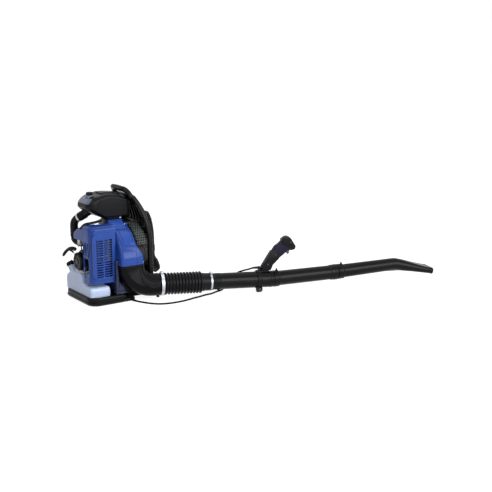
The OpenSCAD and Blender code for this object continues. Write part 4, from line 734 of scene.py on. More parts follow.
tube_piece("second_tube_piece", TUBE_2,
           [(3, 38.5), (3.6, TUBE_R)] + beads((5, 14, 24), TUBE_R)
           + [(31, TUBE_R), (32.5, 38.6), (34, 36.9), (300, 36.0), (306, 36.4), (309, 38.0), (312, TUBE_2_R)]
           + beads((327, 338), TUBE_2_R) + [(344.4, TUBE_2_R), (345, 37.8)],
           [(2, 34.2), (304, 33.3), (306, 33.95), (345, 33.95)], "second_tube", "tube_2",
           peg(24, TUBE_R), seam_lines(40, 36.6, 298, 35.8))
spigot = Shape().lathe([(-40, 36.9), (-39.2, 37.4), (9, 37.4), (9, 34.9), (-40, 34.9)], 72, loop=True)
spigot.turned(Matrix.Rotation(radians(3.5), 4, "Y"))
piece(spigot, "second_tube_spigot", GLOSS_BLACK, at=TUBE_2, body="second_tube", angle=40)

# nozzle: round and tapering, then bent down and flattened to the mouth
DROP = radians(15)
NOZZLE_STATIONS = [(x, a, a, a, 0, 0) for x, a in ((30, 34), (170, 32.6), (NOZZLE_BEND - 25, 31.6))]
NOZZLE_STATIONS += [(NOZZLE_BEND, 30.6, 31.6, 30.4, DROP / 2, 0)]
NOZZLE_STATIONS += [(NOZZLE_BEND, a, b, r, DROP, ahead) for a, b, r, ahead in (
    (28, 36, 27, 45), (22.5, 43, 21.5, 95), (17.7, 54.5, 16.5, 145), (15.5, 57.6, 14, 185), (15, 58, 14, 193),
    (16.3, 59.3, 15.3, 194.2), (16.5, 59.5, 15.5, 199.2), (16, 59, 15, 200))]


def nozzle_ring(station, off=0.0):
    """station: place, half height, half width, corner radius, turn, distance past the bend."""
    x, a, b, r, turn, ahead = station
    return [(x + ahead * cos(turn) + p.x * sin(turn), p.y, -ahead * sin(turn) + p.x * cos(turn))
            for p in rounded(a - off, b - off, r - off, 10)]


outer = [nozzle_ring(s) for s in NOZZLE_STATIONS]
inner = [nozzle_ring(s, 2.4) for s in NOZZLE_STATIONS[:-4]] + [nozzle_ring(NOZZLE_STATIONS[-1], 3.4)]
nozzle = place(Shape().loft(outer + inner[::-1], loop=True), "flat_nozzle_piece", NOZZLE, GLOSS_BLACK)
cut(nozzle, peg(27, 36.2), where=NOZZLE, operation="UNION")
dress(nozzle, "flat_nozzle", None, "nozzle", bevel=0.3, angle=40)
collar = Shape().lathe([(3, 36.2), (3.6, NOZZLE_R)] + beads((5, 14, 27), NOZZLE_R)
                       + [(33, NOZZLE_R), (35, 36.2), (36, 34.2), (36, 31.6), (3, 31.6)], 72, loop=True)
collar.lathe([(-40, 33.2), (-39.2, 33.8), (9, 33.8), (9, 31.4), (-40, 31.4)], 72, loop=True)
piece(collar, "nozzle_collar", GLOSS_BLACK, at=NOZZLE, body="flat_nozzle", bevel=0.2, angle=38)
# stiffening rib under the nozzle's bend
rib = Shape().slab([(NOZZLE_BEND + s, h) for s, h in ((-60, -31.0), (10, -30.4), (70, -41.0), (64, -44.2), (8, -36.6),
                                                      (-50, -33.4))], -1.5, 1.5, ON_Y)
piece(rib, "nozzle_rib", GLOSS_BLACK, at=NOZZLE, body="flat_nozzle", bevel=0.8, angle=38)


# --- air outlet elbow ---
ELBOW_OUT_R, DUCT_HALF_L, DUCT_HALF_W, DUCT_R = 54, 59, 38.5, 22


def elbow_ring(a, off=0.0, ahead=0.0):
    """From the duct's rectangle, square to the machine, to the round outlet along the tube."""
    ease = smooth(a / 90)
    half_l, half_w, r = (p + (ELBOW_OUT_R - p) * ease for p in (DUCT_HALF_L, DUCT_HALF_W, DUCT_R))
    half_l, half_w = half_l - off, half_w - off
    w, a = YAW * (1 - ease), radians(a)
    ring = []
    for p in rounded(half_l, half_w, min(half_l, half_w, r - off / 2), 8):
        u = -ELBOW_R + p.x * cos(w) - p.y * sin(w)
        v = p.x * sin(w) + p.y * cos(w)
        ring.append(Vector((-ELBOW_STRAIGHT + u * cos(a) + ahead * sin(a), v, ELBOW_R + u * sin(a) - ahead * cos(a))))
    return ring


MOUTH = ELBOW_STRAIGHT + 11
outer = [elbow_ring(7.5 * i) for i in range(13)]
# lip and the step down to the hose's spigot
outer += [elbow_ring(90, off, ahead) for off, ahead in (
    (0, 12), (0, 24), (0, 28), (1.2, 29.5), (3.5, 30), (3.5, MOUTH - 0.5), (4.5, MOUTH))]
inner = [elbow_ring(7.5 * i, 3) for i in range(13)] + [elbow_ring(90, 6.5, MOUTH)]
elbow = place(Shape().loft(outer + inner[::-1], loop=True), "elbow_body", ELBOW, ELBOW_BLACK)


def parting_flange(side, proud=2.4, width=2.2):
    """Strip along the elbow's side, at the middle of its height."""
    rings = []
    for a in [4 + 8 * i for i in range(11)] + [92, 104, 114]:
        ring = elbow_ring(min(a, 90), 0, max(0, a - 90))
        middle = sum(ring, Vector()) / len(ring)
        across = Vector((cos(radians(min(a, 90))), 0, sin(radians(min(a, 90)))))
        tip = max(ring, key=lambda p: side * (p.y - middle.y) - abs((p - middle).dot(across)) * 0.3)
        out = Vector((0, side, 0))
        rings.append([tip + across * (width * w) + out * h
                      for w, h in ((1, -2), (0.7, proud), (-0.7, proud), (-1, -2))])
    return Shape().loft(rings)


cut(elbow, parting_flange(-1), parting_flange(1), where=ELBOW, operation="UNION")
# raised ribs round the upper side of the bend
bend_ribs = Shape()
for k in (27, 30, 33):
    run = [elbow_ring(6 * i, -0.8)[k] for i in range(1, 16)] + [elbow_ring(90, -0.8, d)[k] for d in (10, 22)]
    bend_ribs.sweep(run, rounded(2.4, 2.4, 2.2, 3), scale=[0.4] + [1] * (len(run) - 2) + [0.4])
piece(bend_ribs, "elbow_ribs", GLOSS_BLACK, at=ELBOW, slot="black_plastic", angle=50)
# mounting flange under the fan duct, and the lug beside the clamp
flange = Shape().loft([[(p.x, p.y, z) for p in rounded(DUCT_HALF_L + g, DUCT_HALF_W + g, DUCT_R + g, 8)]
                       for z, g in ((-10, 0.2), (-9, 3.0), (-3.4, 3.4), (-2.4, 3.0), (-2.2, -4))])
flange.turned(Matrix.Translation((DUCT_X, DUCT_Y, CRANK_Z - 10)))
piece(flange, "elbow_flange", BLACK, bevel=0.5, angle=40)
dress(elbow, "machine", None, "outlet_elbow", bevel=0.4, angle=40)
lug = Shape().box((-27, -12, -62), (-13, 4, -50), 2.5)
lug.lathe([(-14, 3.4), (-13.4, 4.6), (-10.6, 4.8), (-10.2, 3)], 6, (-20, 0, -56), Y_AXIS)
piece(lug, "elbow_lug", BLACK, at=ELBOW, angle=40)


# --- engine cover and fan housing ---
REAR_X, FRONT_X, RIGHT_Y, LEFT_Y, COVER_LOW, COVER_WALL = -165, -38, -130, 62, 105, 3
ROOF = [(-130, 374), (-112, 376), (-90, 376), (-50, 374), (-16, 364), (22, 352), (48, 338), (62, 330)]
ROOF_R = 17


def along(table, x):
    """Smooth value between the (place, value) pairs of a table."""
    x = min(max(x, table[0][0]), table[-1][0])
    for (a, p), (b, q) in zip(table, table[1:]):
        if x <= b:
            return p + (q - p) * smooth((x - a) / (b - a))
    return table[-1][1]


def divided(outline, longest=9.0):
    """Adds points on the long edges of a closed outline."""
    out = []
    for a, b in zip(outline, outline[1:] + outline[:1]):
        n = max(1, round((b - a).length / longest))
        out += [a.lerp(b, k / n) for k in range(n)]
    return out


QUARTER = [(1 - cos(t), 1 - sin(t)) for t in (radians(15 * k) for k in range(7))]


def cover_solid(off, front):
    """The cover's volume moved inwards by off, with rounded edges between sides and roof."""
    corners = [(front, LEFT_Y, 0.5), (REAR_X, LEFT_Y, 14), (REAR_X, RIGHT_Y, 30), (front, RIGHT_Y, 0.5)]
    plan = divided(round_poly(corners, 7))
    middle = Vector(((REAR_X + FRONT_X) / 2, (RIGHT_Y + LEFT_Y) / 2))
    half = Vector((middle.x - REAR_X, middle.y - RIGHT_Y))

    def ring(inset, drop, low=None):
        out = []
        for p in plan:
            q = middle + Vector([(c - m) * (1 - inset / h) for c, m, h in zip(p, middle, half)])
            out.append((front if p.x >= front - 1 else q.x, q.y, along(ROOF, q.y) - drop if low is None else low))
        return out

    rings = [ring(off, 0, low) for low in (COVER_LOW - (1 if off else 0), 250, 290)]
    rings += [ring(off + ROOF_R * a, off + ROOF_R * b) for a, b in QUARTER]
    return Shape().loft(rings + [ring(off + d, off) for d in (28, 38, 48, 55, 60)])


cover = place(cover_solid(0, FRONT_X), "cover_shell", mat=BLUE)
# raised side panel that carries the louvres, with large round corners
cut(cover, Shape().slab(moved(rounded(56, 111, 27, 8), -101, 234), -133.2, -128, ON_Y), operation="UNION")
cut(cover, cover_solid(COVER_WALL, 0))
openings = Shape()
# open left side, seen from the starter's side
side_opening = round_poly([(-64, -120, 2), (60, -120, 0.5), (60, 110, 0.5), (-64, 110, 16)], 6)
openings.slab(moved(side_opening, 20, 188), -166, -20, ON_X)
REAR_COLUMN, FRONT_COLUMN = -139, -99
LOUVRES = [(column, 134 + 11.4 * i) for column in (REAR_COLUMN, FRONT_COLUMN) for i in range(16)]
for x, z in LOUVRES:
    slot = [(0, 0, 3), (34, 0, 3), (34, 7, 3), (0, 7, 3)]
    if x == FRONT_COLUMN:
        # wider at its far end
        slot = [(0, 0, 3), (27, 0, 2), (29, -1.2, 2), (42, -1.2, 3), (42, 8, 3), (29, 8, 2), (27, 7, 2), (0, 7, 3)]
    openings.slab(round_poly([(x + a, z + b, r) for a, b, r in slot], 3), -140, -126, ON_Y)
# slanted slots and a window in the rear
SLANT, SLANT_Z = radians(13), 268
for i in range(4):
    y, z = -56 - 17 * i, SLANT_Z - 2 * i
    openings.slab([(y + p.x * cos(SLANT) - p.y * sin(SLANT), z + p.x * sin(SLANT) + p.y * cos(SLANT))
                   for p in rounded(4.2, 34, 4.1, 3)], -170, -150, ON_X)
openings.slab(moved(rounded(22, 46, 8, 5), -79, 176), -170, -150, ON_X)
cut(cover, openings)
dress(cover, "machine", None, "engine_cover", bevel=1.0, segments=2, angle=42)
# hoods over the louvre slots
hoods, blades = Shape(), Shape()
for x, z in LOUVRES:
    wide = 34 if x == REAR_COLUMN else 27
    ends = ((0, 2.2), (3, 0), (wide - 3, 0), (wide, 2.2))
    hoods.loft([[(x + a, y, z + h) for y, h in ((-132.4, 8), (-135.6 + t, 7), (-135.2 + t, 6), (-130, 7.2), (-130, 8.6),
                                                (-132.9, 9.4))] for a, t in ends])
piece(hoods, "cover_hoods", BLUE, angle=30)
# dark blades behind the slots, sloping down and in
for x, z in LOUVRES:
    wide = 34 if x == REAR_COLUMN else 44
    blades.box((x - 1, -131, z + 7), (x + wide + 1, -128.5, z + 9.4), 0.4, 1)
    blades.loft([[(a, y, z + h) for y, h in ((-129, 7.4), (-112, -3), (-112, -4.5), (-129, 8.8))]
                 for a in (x - 1.5, x + wide + 1.5)])
for i in range(4):
    blades.loft([[(x, -48 - 17 * i + y - 8.4 * h, SLANT_Z - 2 * i + 36 * h) for x, y in (
        (-162.4, -1.4), (-148, -13), (-148, -11.6), (-162.4, 0.4))] for h in (-1, 1)])
piece(blades, "cover_blades", NAVY, angle=30)
# trim strip over the roof, with its bolt
strip_line = [(-160, -20, 354), (-152, -24, 366), (-138, -28, 374.5), (-110, -32, 378), (-84, -34, 381),
              (-64, -36, 386)]
piece(Shape().sweep(spline(strip_line, 6), rounded(15, 5.8, 5, 4)), "roof_strip", BLACK, angle=40)
bolt, BOLT_AT, BOLT_AXIS = Shape(), (-72, -42, 388), (0, -0.4, 1)
bolt.lathe([(0, 5), (4, 5), (4.8, 4.2), (4.8, 2.8), (2.6, 2.4)], 6, BOLT_AT, BOLT_AXIS)
bolt.lathe([(-3, 6.6), (-1, 6.8), (0.4, 6.4), (0.5, 4)], 28, BOLT_AT, BOLT_AXIS)
piece(bolt, "roof_bolt", ZINC, angle=30)

REAR, SEAM, FAN_WALL = -36, 50, 4


def volute_r(a):
    """Outer radius of the fan housing at an angle from the right, over the top."""
    return 104 + 74 * cos(radians(min(a, 300) * 0.3)) + FAN_WALL


def round_fan(x, a, out=0.0):
    r = volute_r(a) + out
    return x, -r * cos(radians(a)), r * sin(radians(a))


def fan_outline(inset=0.0):
    """Across the fan: the volute and, at the right, the duct that leads down. Points are (y, height over the crank)."""
    duct = [(-187, -9.6), (-187, 4), (-186.2, 22), (-182.5, 42)]
    spiral = [round_fan(0, a)[1:] for a in range(20, 346, 5)]
    points = [Vector(p) for p in duct + spiral + [(-110, -20), (-110, -9.6)]]
    return [p * (1 - inset / p.length) for p in points]


def fan_loft(stations):
    return Shape().loft([[(x, p.x, p.y) for p in fan_outline(inset)] for x, inset in stations])


def duct_outline(grow=0.0):
    return moved(rounded(DUCT_HALF_L + grow, DUCT_HALF_W + grow, 15 + grow, 6), DUCT_X, DUCT_Y)


rings = [(REAR + 18 * a, 18 * b) for a, b in QUARTER] + [(SEAM - 7, 0), (SEAM - 6.6, -2.4), (SEAM, -2.4)]
housing = place(fan_loft(rings), "fan_housing_shell", CRANK, BLUE)
# outlet duct with a flange, and the skin that widens the spiral towards it
duct = Shape().loft([[(*p, z) for p in duct_outline(g)]
                     for z, g in ((-9.4, 1.4), (-8.6, 2.2), (-3.4, 2.2), (-2.2, 0), (27, 0))])
widening = []
for a in range(6, 33, 3):
    front = 50 + 29 * (1 - smooth((a - 6) / 24))
    widening.append([round_fan(x, a, out) for x, out in (
        (10, -1), (24, 0.4), (38, 1.8), (front - 3, 3.2), (front - 0.6, 2.6), (front, 1.2), (front, 0.2), (40, -1.5),
        (24, -2.5))])
crown = round_poly([(-96, 150, 2), (-80, 166, 24), (-52, 192, 10), (22, 192, 10), (50, 160, 24), (66, 140, 2)], 6)
cut(housing, duct, Shape().loft(widening), Shape().slab(crown, REAR + 2, 37, ON_X), where=CRANK, operation="UNION")
inside = fan_loft([(REAR + FAN_WALL + 14 * a, FAN_WALL + 14 * b) for a, b in QUARTER] + [(SEAM + 1, FAN_WALL)])
cut(housing, inside, Shape().slab(duct_outline(-FAN_WALL), -14, 20), Shape().lathe([(REAR - 2, 25), (0, 25)], 40),
    where=CRANK)
dress(housing, "machine", None, "fan_housing_rear", bevel=1.4, segments=3, angle=40)
# moulded rib along the band and bosses for the screws
trims = Shape().sweep([round_fan(-8, a) for a in range(30, 150, 4)], rounded(1.5, 1.3, 1, 3))
for a in (67, 90, 125, 165, 205, 245, 285):
    trims.lathe([(SEAM - 8, 6.6), (SEAM - 7.2, 8), (SEAM, 8), (SEAM, 2.8), (SEAM - 8, 2.8)], 24, round_fan(0, a, 5),
                loop=True)
piece(trims, "housing_bosses", BLUE, at=CRANK, angle=35)
# legs down to the lower mounts
legs = Shape()
for y0, y1, foot in ((-150, -132, ((-49, -150, 46), (2, -118, 58))), (119, 137, ((-49, 118, 46), (-12, 138, 58)))):
    legs.box((-49, y0, 46), (REAR + 4, y1, 210), 5)
    legs.box(*foot, 4)
    legs.slab(round_poly([(-45, 110, 3), (REAR + 2, 110, 3), (0, 57, 3), (-45, 57, 2)], 4), y0 + 7, y0 + 11, ON_Y)
# plates that join the legs under the engine and the fan
legs.box((-45, -136, 60), (-38, 122, 112), 2)
legs.slab([(-136, 56), (122, 56), (122, 112), (60, 94), (0, 78), (-60, 94), (-118, 140), (-136, 150)], -10, -5, ON_X)
piece(legs, "housing_legs", NAVY, angle=40)


# --- air filter box ---
BOX_Z, BOX_HALF, BOX_R = 398, 72, 38
BOX_SIDE = [(-144, 54, 8), (-140, 76, 12), (-124, 93, 14), (-100, 103, 30), (-40, 115, 60), (30, 108, 40), (88, 83, 16),
            (88, 0, 10), (-58, 0, 30), (-84, 12, 40), (-108, 26, 40), (-132, 40, 14)]
# seen from the side: where the box is drawn in to, and how far that is from its ends
MIDDLE_X, MIDDLE_Z, REACH_X, REACH_Z = -28, 56, 116, 57
# two points of the cap's parting line, seen from the side
CAP_LOW, CAP_TOP = (-104, 43), (-50, 136)
BOX = basis((0, 0, BOX_Z), (1, 0, 0), (0, 1, 0), (0, 0, 1))


def filter_solid(off):
    """The filter box, drawn in at its four upright corners and rounded towards its ends."""
    side = divided(round_poly(BOX_SIDE, 5), 12)

    def drawn_in(y, r):
        t = max(0.0, abs(y) - (BOX_HALF - r)) / (r - off)
        return (1 - sqrt(max(0, 1 - min(1, t) ** 2))) * r + off

    rings = []
    for k in range(-14, 15):
        y = (BOX_HALF - off) * sin(pi / 2 * k / 14)
        short, low = 1 - drawn_in(y, BOX_R) / REACH_X, 1 - drawn_in(y, 16) / REACH_Z
        rings.append([(MIDDLE_X + (p.x - MIDDLE_X) * short, y, MIDDLE_Z + (p.y - MIDDLE_Z) * low) for p in side])
    return Shape().loft(rings)


def behind_line(shift):
    """Everything behind the cap's parting line, as a solid."""
    (x0, low), (x1, top) = CAP_LOW, CAP_TOP
    return Shape().slab([(-300, low - shift), (x0 + shift, low - shift), (x1 + shift, top), (-300, top)], -100, 100,
                        ON_Y)


def twin(obj, name):
    """Copies a piece under a new name."""
    out = obj.copy()
    out.data = obj.data.copy()
    out.name = name
    scene.collection.objects.link(out)
    return out


base = place(filter_solid(0), "filter_box", BOX, BLACK)
cut(base, filter_solid(3), where=BOX)
cap = twin(base, "filter_cap")
cut(base, behind_line(0.5), where=BOX)
cut(cap, behind_line(-0.6), where=BOX, operation="INTERSECT")
# ribs on the sides, a raised band over the top, the seat on the crown and the hangers
details = Shape()
for side in (-1, 1):
    for i in range(4):
        details.box((34 + 11 * i, side * 69, 14), (37.5 + 11 * i, side * 73.4, 74), 1.2, 2)
    details.box((60, side * 50 - 8, 42), (94, side * 50 + 8, 66), 3)
details.box((-38, -44, -30), (-33.5, 14, -9), 1.5, 2)
details.box((-30, -46, -11.2), (30, 16, 6), 3)
details.box((-34, -50, -4), (34, 20, 3), 2)
band = ((-54, 113.4), (-30, 115.4), (0, 112.8), (30, 108.4), (60, 97), (84, 86.4))
details.sweep(spline([(x, 0, z) for x, z in band], 4), rounded(30, 3.4, 3, 4), up=UP)
for y in (-46, 46):
    details.sweep(spline([(x, y, z - 2.2) for x, z in band], 4), 2.4)
piece(details, "filter_box_details", BLACK, at=BOX, angle=38)
cut(base, Shape().lathe([(20, 22.4), (100, 22.4)], 40, (-126.1, 72.4, -20.5), (0.42, -0.757, 0.5)), where=BOX)
dress(base, "machine", None, "filter_base", bevel=0.8, segments=2, angle=40)
# the cap's front part is a black piece, a step away from the slate one
cap_front = twin(cap, "filter_cap_front")
cut(cap, behind_line(-30), where=BOX, operation="INTERSECT")
cut(cap_front, behind_line(-29.4), where=BOX)
dress(cap_front, "machine", None, bevel=1.0, segments=3, angle=40)
dress(cap, "machine", "blue_black_plastic", "filter_cover", bevel=1.0, segments=3, angle=40)
paint(cap, SLATE)


# --- base tray ---
FOOT_X, FOOT_Y = -24, 128
BOLT_X, BOLTS = 126, (-55, 120)


def corner_plan(a, b, radii):
    """Rectangle between two corners, with a fillet for each corner from the rear right one round."""
    (x0, y0), (x1, y1) = a, b
    return divided(round_poly([(x, y, r) for (x, y), r in zip(((x0, y0), (x1, y0), (x1, y1), (x0, y1)), radii)], 7), 30)


def tray_ring(z, inset):
    x0, hx, hy = -85.5, 97.5, 150
    plan = corner_plan((x0 - hx, -hy), (x0 + hx, hy), (48, 22, 22, 48))
    return [(x0 + (p.x - x0) * (1 - inset / hx), p.y * (1 - inset / hy), z) for p in plan]


RIM = [(0, 15), (1.5, 10), (5, 4.5), (10, 1), (14, 0), (17, 0.4), (19, 2.2), (20, 4.6), (22.5, 5), (23.5, 3.4),
       (26, 2.6), (34, 3.2), (38, 4.4), (41, 6.6), (43, 9.4), (42, 11.6), (22, 12), (6, 13)]
tray = place(Shape().loft([tray_ring(*level) for level in RIM]), "base_tray", mat=BLACK)
plates = Shape()
for a, b, r in (((-30, -75), (150, 140), (20, 20, 20, 20)), ((-30, -138), (62, 0), (20, 24, 20, 20))):
    middle = (Vector(a) + Vector(b)) / 2
    plates.loft([[(*(middle + (p - middle) * (1 - inset / 70)), z) for p in corner_plan(a, b, r)]
                 for z, inset in ((0, 4), (1.5, 1.5), (4, 0), (11, 0.4), (13.4, 1.6), (14, 3))])
for y in (-104, -60, 0, 60, 104):
    plates.box((-172, y - 2, 5), (-4, y + 2, 12), 1, 2)
for x in (70, 110):
    plates.box((x - 2, -66, 12), (x + 2, 132, 17), 1, 2)
for y in (-FOOT_Y, FOOT_Y):
    plates.lathe([(5, 13), (9, 13), (10, 12), (10, 9.9), (5, 9.9)], 32, (FOOT_X, y, 0), UP, loop=True)
plates.lathe([(-2, 6.2), (3, 6.2), (5.6, 5.6), (6.4, 4.4), (-2, 4.4)], 28, (36, -137, 7), (0, -1, 0), loop=True)
bolt_holes = Shape()
for y in BOLTS:
    bolt_holes.lathe([(-2, 3.6), (30, 3.6)], 24, (BOLT_X, y, 0), UP)
plate = place(plates, "base_plate", mat=BLACK)
cut(plate, bolt_holes)
dress(plate, "machine", None, angle=38)
dress(tray, "machine", None, "base_frame", angle=34)
# tapered boot where the cable leaves the base
boot = [lower_path[0], (36, -147, 7), (36.3, -152, 6.9), (38.2, -161, 6.5), (42.6, -172, 5.9)]
piece(Shape().sweep(boot, circle(1, 1, 20), scale=[6.2, 6.0, 5.6, 5.1, 4.5]), "cable_boot", BLACK, angle=50)

# --- fuel tank ---
NECK, NECK_AXIS = (-146, 112, 120), (0, sin(radians(36)), cos(radians(36)))
tank = Shape()
tank.box((-172, -128, 30), (-66, 138, 87), 15, 4)
upper_tank = round_poly([(-30, 34, 10), (-30, 136, 24), (86, 136, 60), (138, 106, 22), (138, 34, 10)], 6)
tank.slab(upper_tank, -171, -105, ON_X)
tank.loft([[(x, y, z) for x, y in ((-170, -46), (-106, -46), (-106, -20), (-170, -20))] for z in (60, 92)])
tank.lathe([(-14, 17), (30, 17)], 40, NECK, NECK_AXIS)
for x, y in ((-150, -100), (-150, 100), (-90, -100), (-90, 100)):
    tank.lathe([(6, 9), (40, 10)], 24, (x, y, 0), UP)
tank_obj = place(tank, "fuel_tank_shell", mat=TANK)
modify(tank_obj, "REMESH", mode="VOXEL", voxel_size=3 * MM)
modify(tank_obj, "SMOOTH", factor=0.6, iterations=9)
apply_all(tank_obj)
cut(tank_obj, Shape().lathe([(6, 14), (50, 14)], 36, NECK, NECK_AXIS))
dress(tank_obj, "machine", None, "fuel_tank", angle=50)
# moulding seam round the tank, screw thread of the neck, and fill marks
marks = Shape()
marks.loft([[(*p, z) for p in corner_plan((-172.2 - out, -128.2 - out), (-65.8 + out, 138.2 + out), (15, 15, 15, 15))]
            for z, out in ((57.2, 0), (58, 0.7), (58.8, 0))], caps=False)
marks.lathe([(a + 3 * i, r) for i in range(4) for a, r in ((21, 16.6), (22, 17.6), (23, 16.6))], 40, NECK, NECK_AXIS,
            caps=False)
for i in range(3):
    marks.box((-152, -129.2, 48 + 11 * i), (-140 + 4 * (i % 2), -127.4, 49.2 + 11 * i), 0.4, 1)
piece(marks, "tank_seam", TANK, angle=50)

# --- back frame ---
SHOULDER_Z, FRAME_TOP = 250, 504
BACK_MOUNTS = ((-62, 315), (62, 315), (-66, 130), (66, 130))


def frame_t(z):
    """0 up to the frame's shoulder and 1 at its top."""
    return max(0.0, (z - SHOULDER_Z) / (FRAME_TOP - SHOULDER_Z))


def frame_front(z):
    return 159 - 69 * frame_t(z) ** 2.5


def frame_half(z):
    return 140 - 55 * frame_t(z) ** 2.2


def frame_ring(z, inset=0.0, depth=26, shift=0.0, r=9, side=0.0, level=None):
    """Section of the frame at height z, in x and y."""
    half, x = frame_half(z) - side - inset, frame_front(z) - shift - depth / 2
    return [(x + p.x, p.y, z if level is None else level) for p in rounded(depth / 2 - inset, half, r, 5)]


body_rings = [frame_ring(14, 2)] + [frame_ring(z) for z in (16, *range(40, 241, 40), 260, *range(275, 484, 13), 494)]
body_rings += [frame_ring(FRAME_TOP, i, level=z) for i, z in ((0.6, 499), (2.2, 502), (5.5, 503.8), (9, 504))]
back = place(Shape().loft(body_rings), "frame_shell", mat=FRAME_BLACK)
pocket = Shape().loft([frame_ring(z, 0, 60, 4, 12, 14)
                       for z in (30, 60, 100, 140, 180, 220, 250, *range(262, 471, 13), 484)])
# long shallow channels down both sides of the frame's rear flange
channels = Shape()
for side in (-1, 1):
    for x, y, heights, web in ((-27.5, -7.5, (40, 100, 160, 220, *range(250, 475, 14)), rounded(2.2, 3.2, 2, 3)),
                               (-10, 1.2, (60, 110, 160, 220, *range(250, 461, 14)), rounded(3, 2.2, 2, 3))):
        channels.sweep([(frame_front(z) + x, side * (frame_half(z) + y), z) for z in heights], web, up=(0, 1, 0))
holes = Shape().lathe([(120, 68), (170, 68)], 64, (0, 0, CRANK_Z), X_AXIS)
for side in (-1, 1):
    for i in range(3):
        for j in range(6):
            holes.lathe([(120, 3.5), (172, 3.5)], 6, (0, side * (89 + 12 * i - 6 * (j % 2)), 285 + 12 * j))
for y in BOLTS:
    holes.lathe([(0, 3.6), (60, 3.6)], 24, (BOLT_X, y, 0), UP)
cut(back, pocket, channels, holes)
cut(back, Shape().lathe([(-62, 58), (44, 58)], 64), where=ELBOW)
dress(back, "machine", "black_plastic", "back_frame", bevel=1.6, segments=2, angle=45)
# mount sockets, feet, and ribs in the pocket
fittings = Shape()
for y, z in BACK_MOUNTS:
    fittings.lathe([(118, 14), (119, 16.4), (121, 17), (frame_front(z) - 2, 17.6)], 40, (0, y, z))
for y in BOLTS:
    fittings.box((BOLT_X - 17, y - 14, 14), (BOLT_X + 13, y + 14, 25.5), 3)
for z in (90, 275, 360):
    half = min(frame_half(z) - 15, 126)
    for y0, y1 in ((-half, -70), (70, half)) if z < 300 else ((-half, half),):
        fittings.box((frame_front(z) - 13, y0, z - 1.5), (frame_front(z) - 3, y1, z + 1.5), 1, 2)
# ribs over the upper panel
for y in range(-84, 85, 24):
    fittings.sweep([(frame_front(z) - 6.4, y * (frame_half(z) - 12) / 100, z) for z in range(368, 484, 11)],
                   rounded(1.6, 3.4, 1.4, 3), up=X_AXIS)
for y in (-30, 30):
    fittings.box((frame_front(330) - 11, y - 1.5, 300), (frame_front(330) - 2.5, y + 1.5, 398), 1, 2)
piece(fittings, "frame_fittings", FRAME_BLACK, angle=38)
# carry handle: one swept loop out of the frame's top
half_line = [(76, -80, 490), (70, -76, 504), (60, -66, 520), (52, -54, 527.5), (48, -38, 529)]
grip_line = half_line + [(48, 0, 529.5)] + [(x, -y, z) for x, y, z in half_line[::-1]]
loop = Shape().sweep(spline(grip_line, 5), rounded(12, 12, 11, 6), up=(1, 0, 0.2))
for y in range(-24, 25, 8):
    loop.lathe([(-1.2, 12.2), (0, 12.9), (1.2, 12.2)], 36, (48, y, 529.3), Y_AXIS, caps=False)
piece(loop, "carry_handle", FRAME_BLACK, angle=40)

# --- rubber mounts between the fan housing and the frame, and under its feet ---
mounts = Shape()
for y, z in BACK_MOUNTS:
    mounts.lathe([(90, 9), (90, 13), (93, 13), (94.5, 10.5), (98, 10), (104, 13), (110, 10), (113.5, 10.5), (115, 13),
                  (118, 13), (118, 9)], 36, (0, y, z))
for y in (-FOOT_Y, FOOT_Y):
    mounts.lathe([(6, 7), (6, 10), (12, 10), (14, 8), (20, 7.6), (26, 9.8), (32, 7.6), (38, 8), (40, 10), (46, 10),
                  (46, 7)],
                 32, (FOOT_X, y, 0), UP)
piece(mounts, "rubber_mounts", RUBBER, "av_mounts", angle=40)
coils = Shape()
for y in (-FOOT_Y, FOOT_Y):
    # five turns
    turns = [(2 * pi * k / 24, 13.4 + 26.6 * k / 120) for k in range(121)]
    coils.sweep([(FOOT_X + 12.2 * cos(t), y + 12.2 * sin(t), z) for t, z in turns], 1.5)
piece(coils, "mount_springs", SPRING, angle=50)

# --- mesh guard between the fan housing and the frame ---
guard = Shape()
CELL_X, CELL_A = 12.5, 4.0


def guard_point(x, a):
    return round_fan(x, a, 2.6)


for row in range(12):
    for column in range(4):
        x0, a0 = 58 + CELL_X * column + (CELL_X / 2 if row % 2 else 0), 26 + CELL_A * row
        x1, a1, x, a = x0 + CELL_X, a0 + CELL_A, x0 + CELL_X / 2, a0 + CELL_A / 2
        points = [(x0, a0), (x1, a0), (x1, a1), (x0, a1), (x, a0 + 0.4), (x1 - 1.3, a), (x, a1 - 0.4), (x0 + 1.3, a)]
        guard.add([guard_point(*p) for p in points],
                  [(0, 1, 4), (1, 5, 4), (1, 2, 5), (2, 6, 5), (2, 3, 6), (3, 7, 6), (3, 0, 7), (0, 4, 7)])
guard_obj = place(guard, "mesh_guard", CRANK, GUARD)
modify(guard_obj, "SOLIDIFY", thickness=1.6 * MM, offset=1)
dress(guard_obj, "machine", "black_plastic", angle=40)
rails = Shape()
for x in (57, 111):
    rails.sweep([guard_point(x, a) for a in range(24, 75, 3)], rounded(2.4, 1.8, 1.4, 3))
for a in (24.5, 73):
    rails.sweep([guard_point(x, a) for x in (56, 84, 112)], rounded(2.2, 1.8, 1.4, 3), up=UP)
piece(rails, "guard_rim", BLACK, at=CRANK, angle=40)


# --- recoil starter ---
starter = Shape().lathe([(-133, 54), (-146, 54), (-148.6, 53), (-150, 50.6), (-151.4, 48), (-152.4, 44.6), (-154, 42),
    (-158, 41.5), (-172, 41.5), (-175.4, 40.6), (-177.4, 38.4), (-178.4, 35.6), (-178, 33.2), (-176.2, 31.8),
    (-176, 7.5), (-178.6, 7), (-179, 5.2), (-170, 5.2), (-170, 32), (-172, 38), (-152, 38.5), (-147, 50), (-133, 51)],
    72, loop=True)
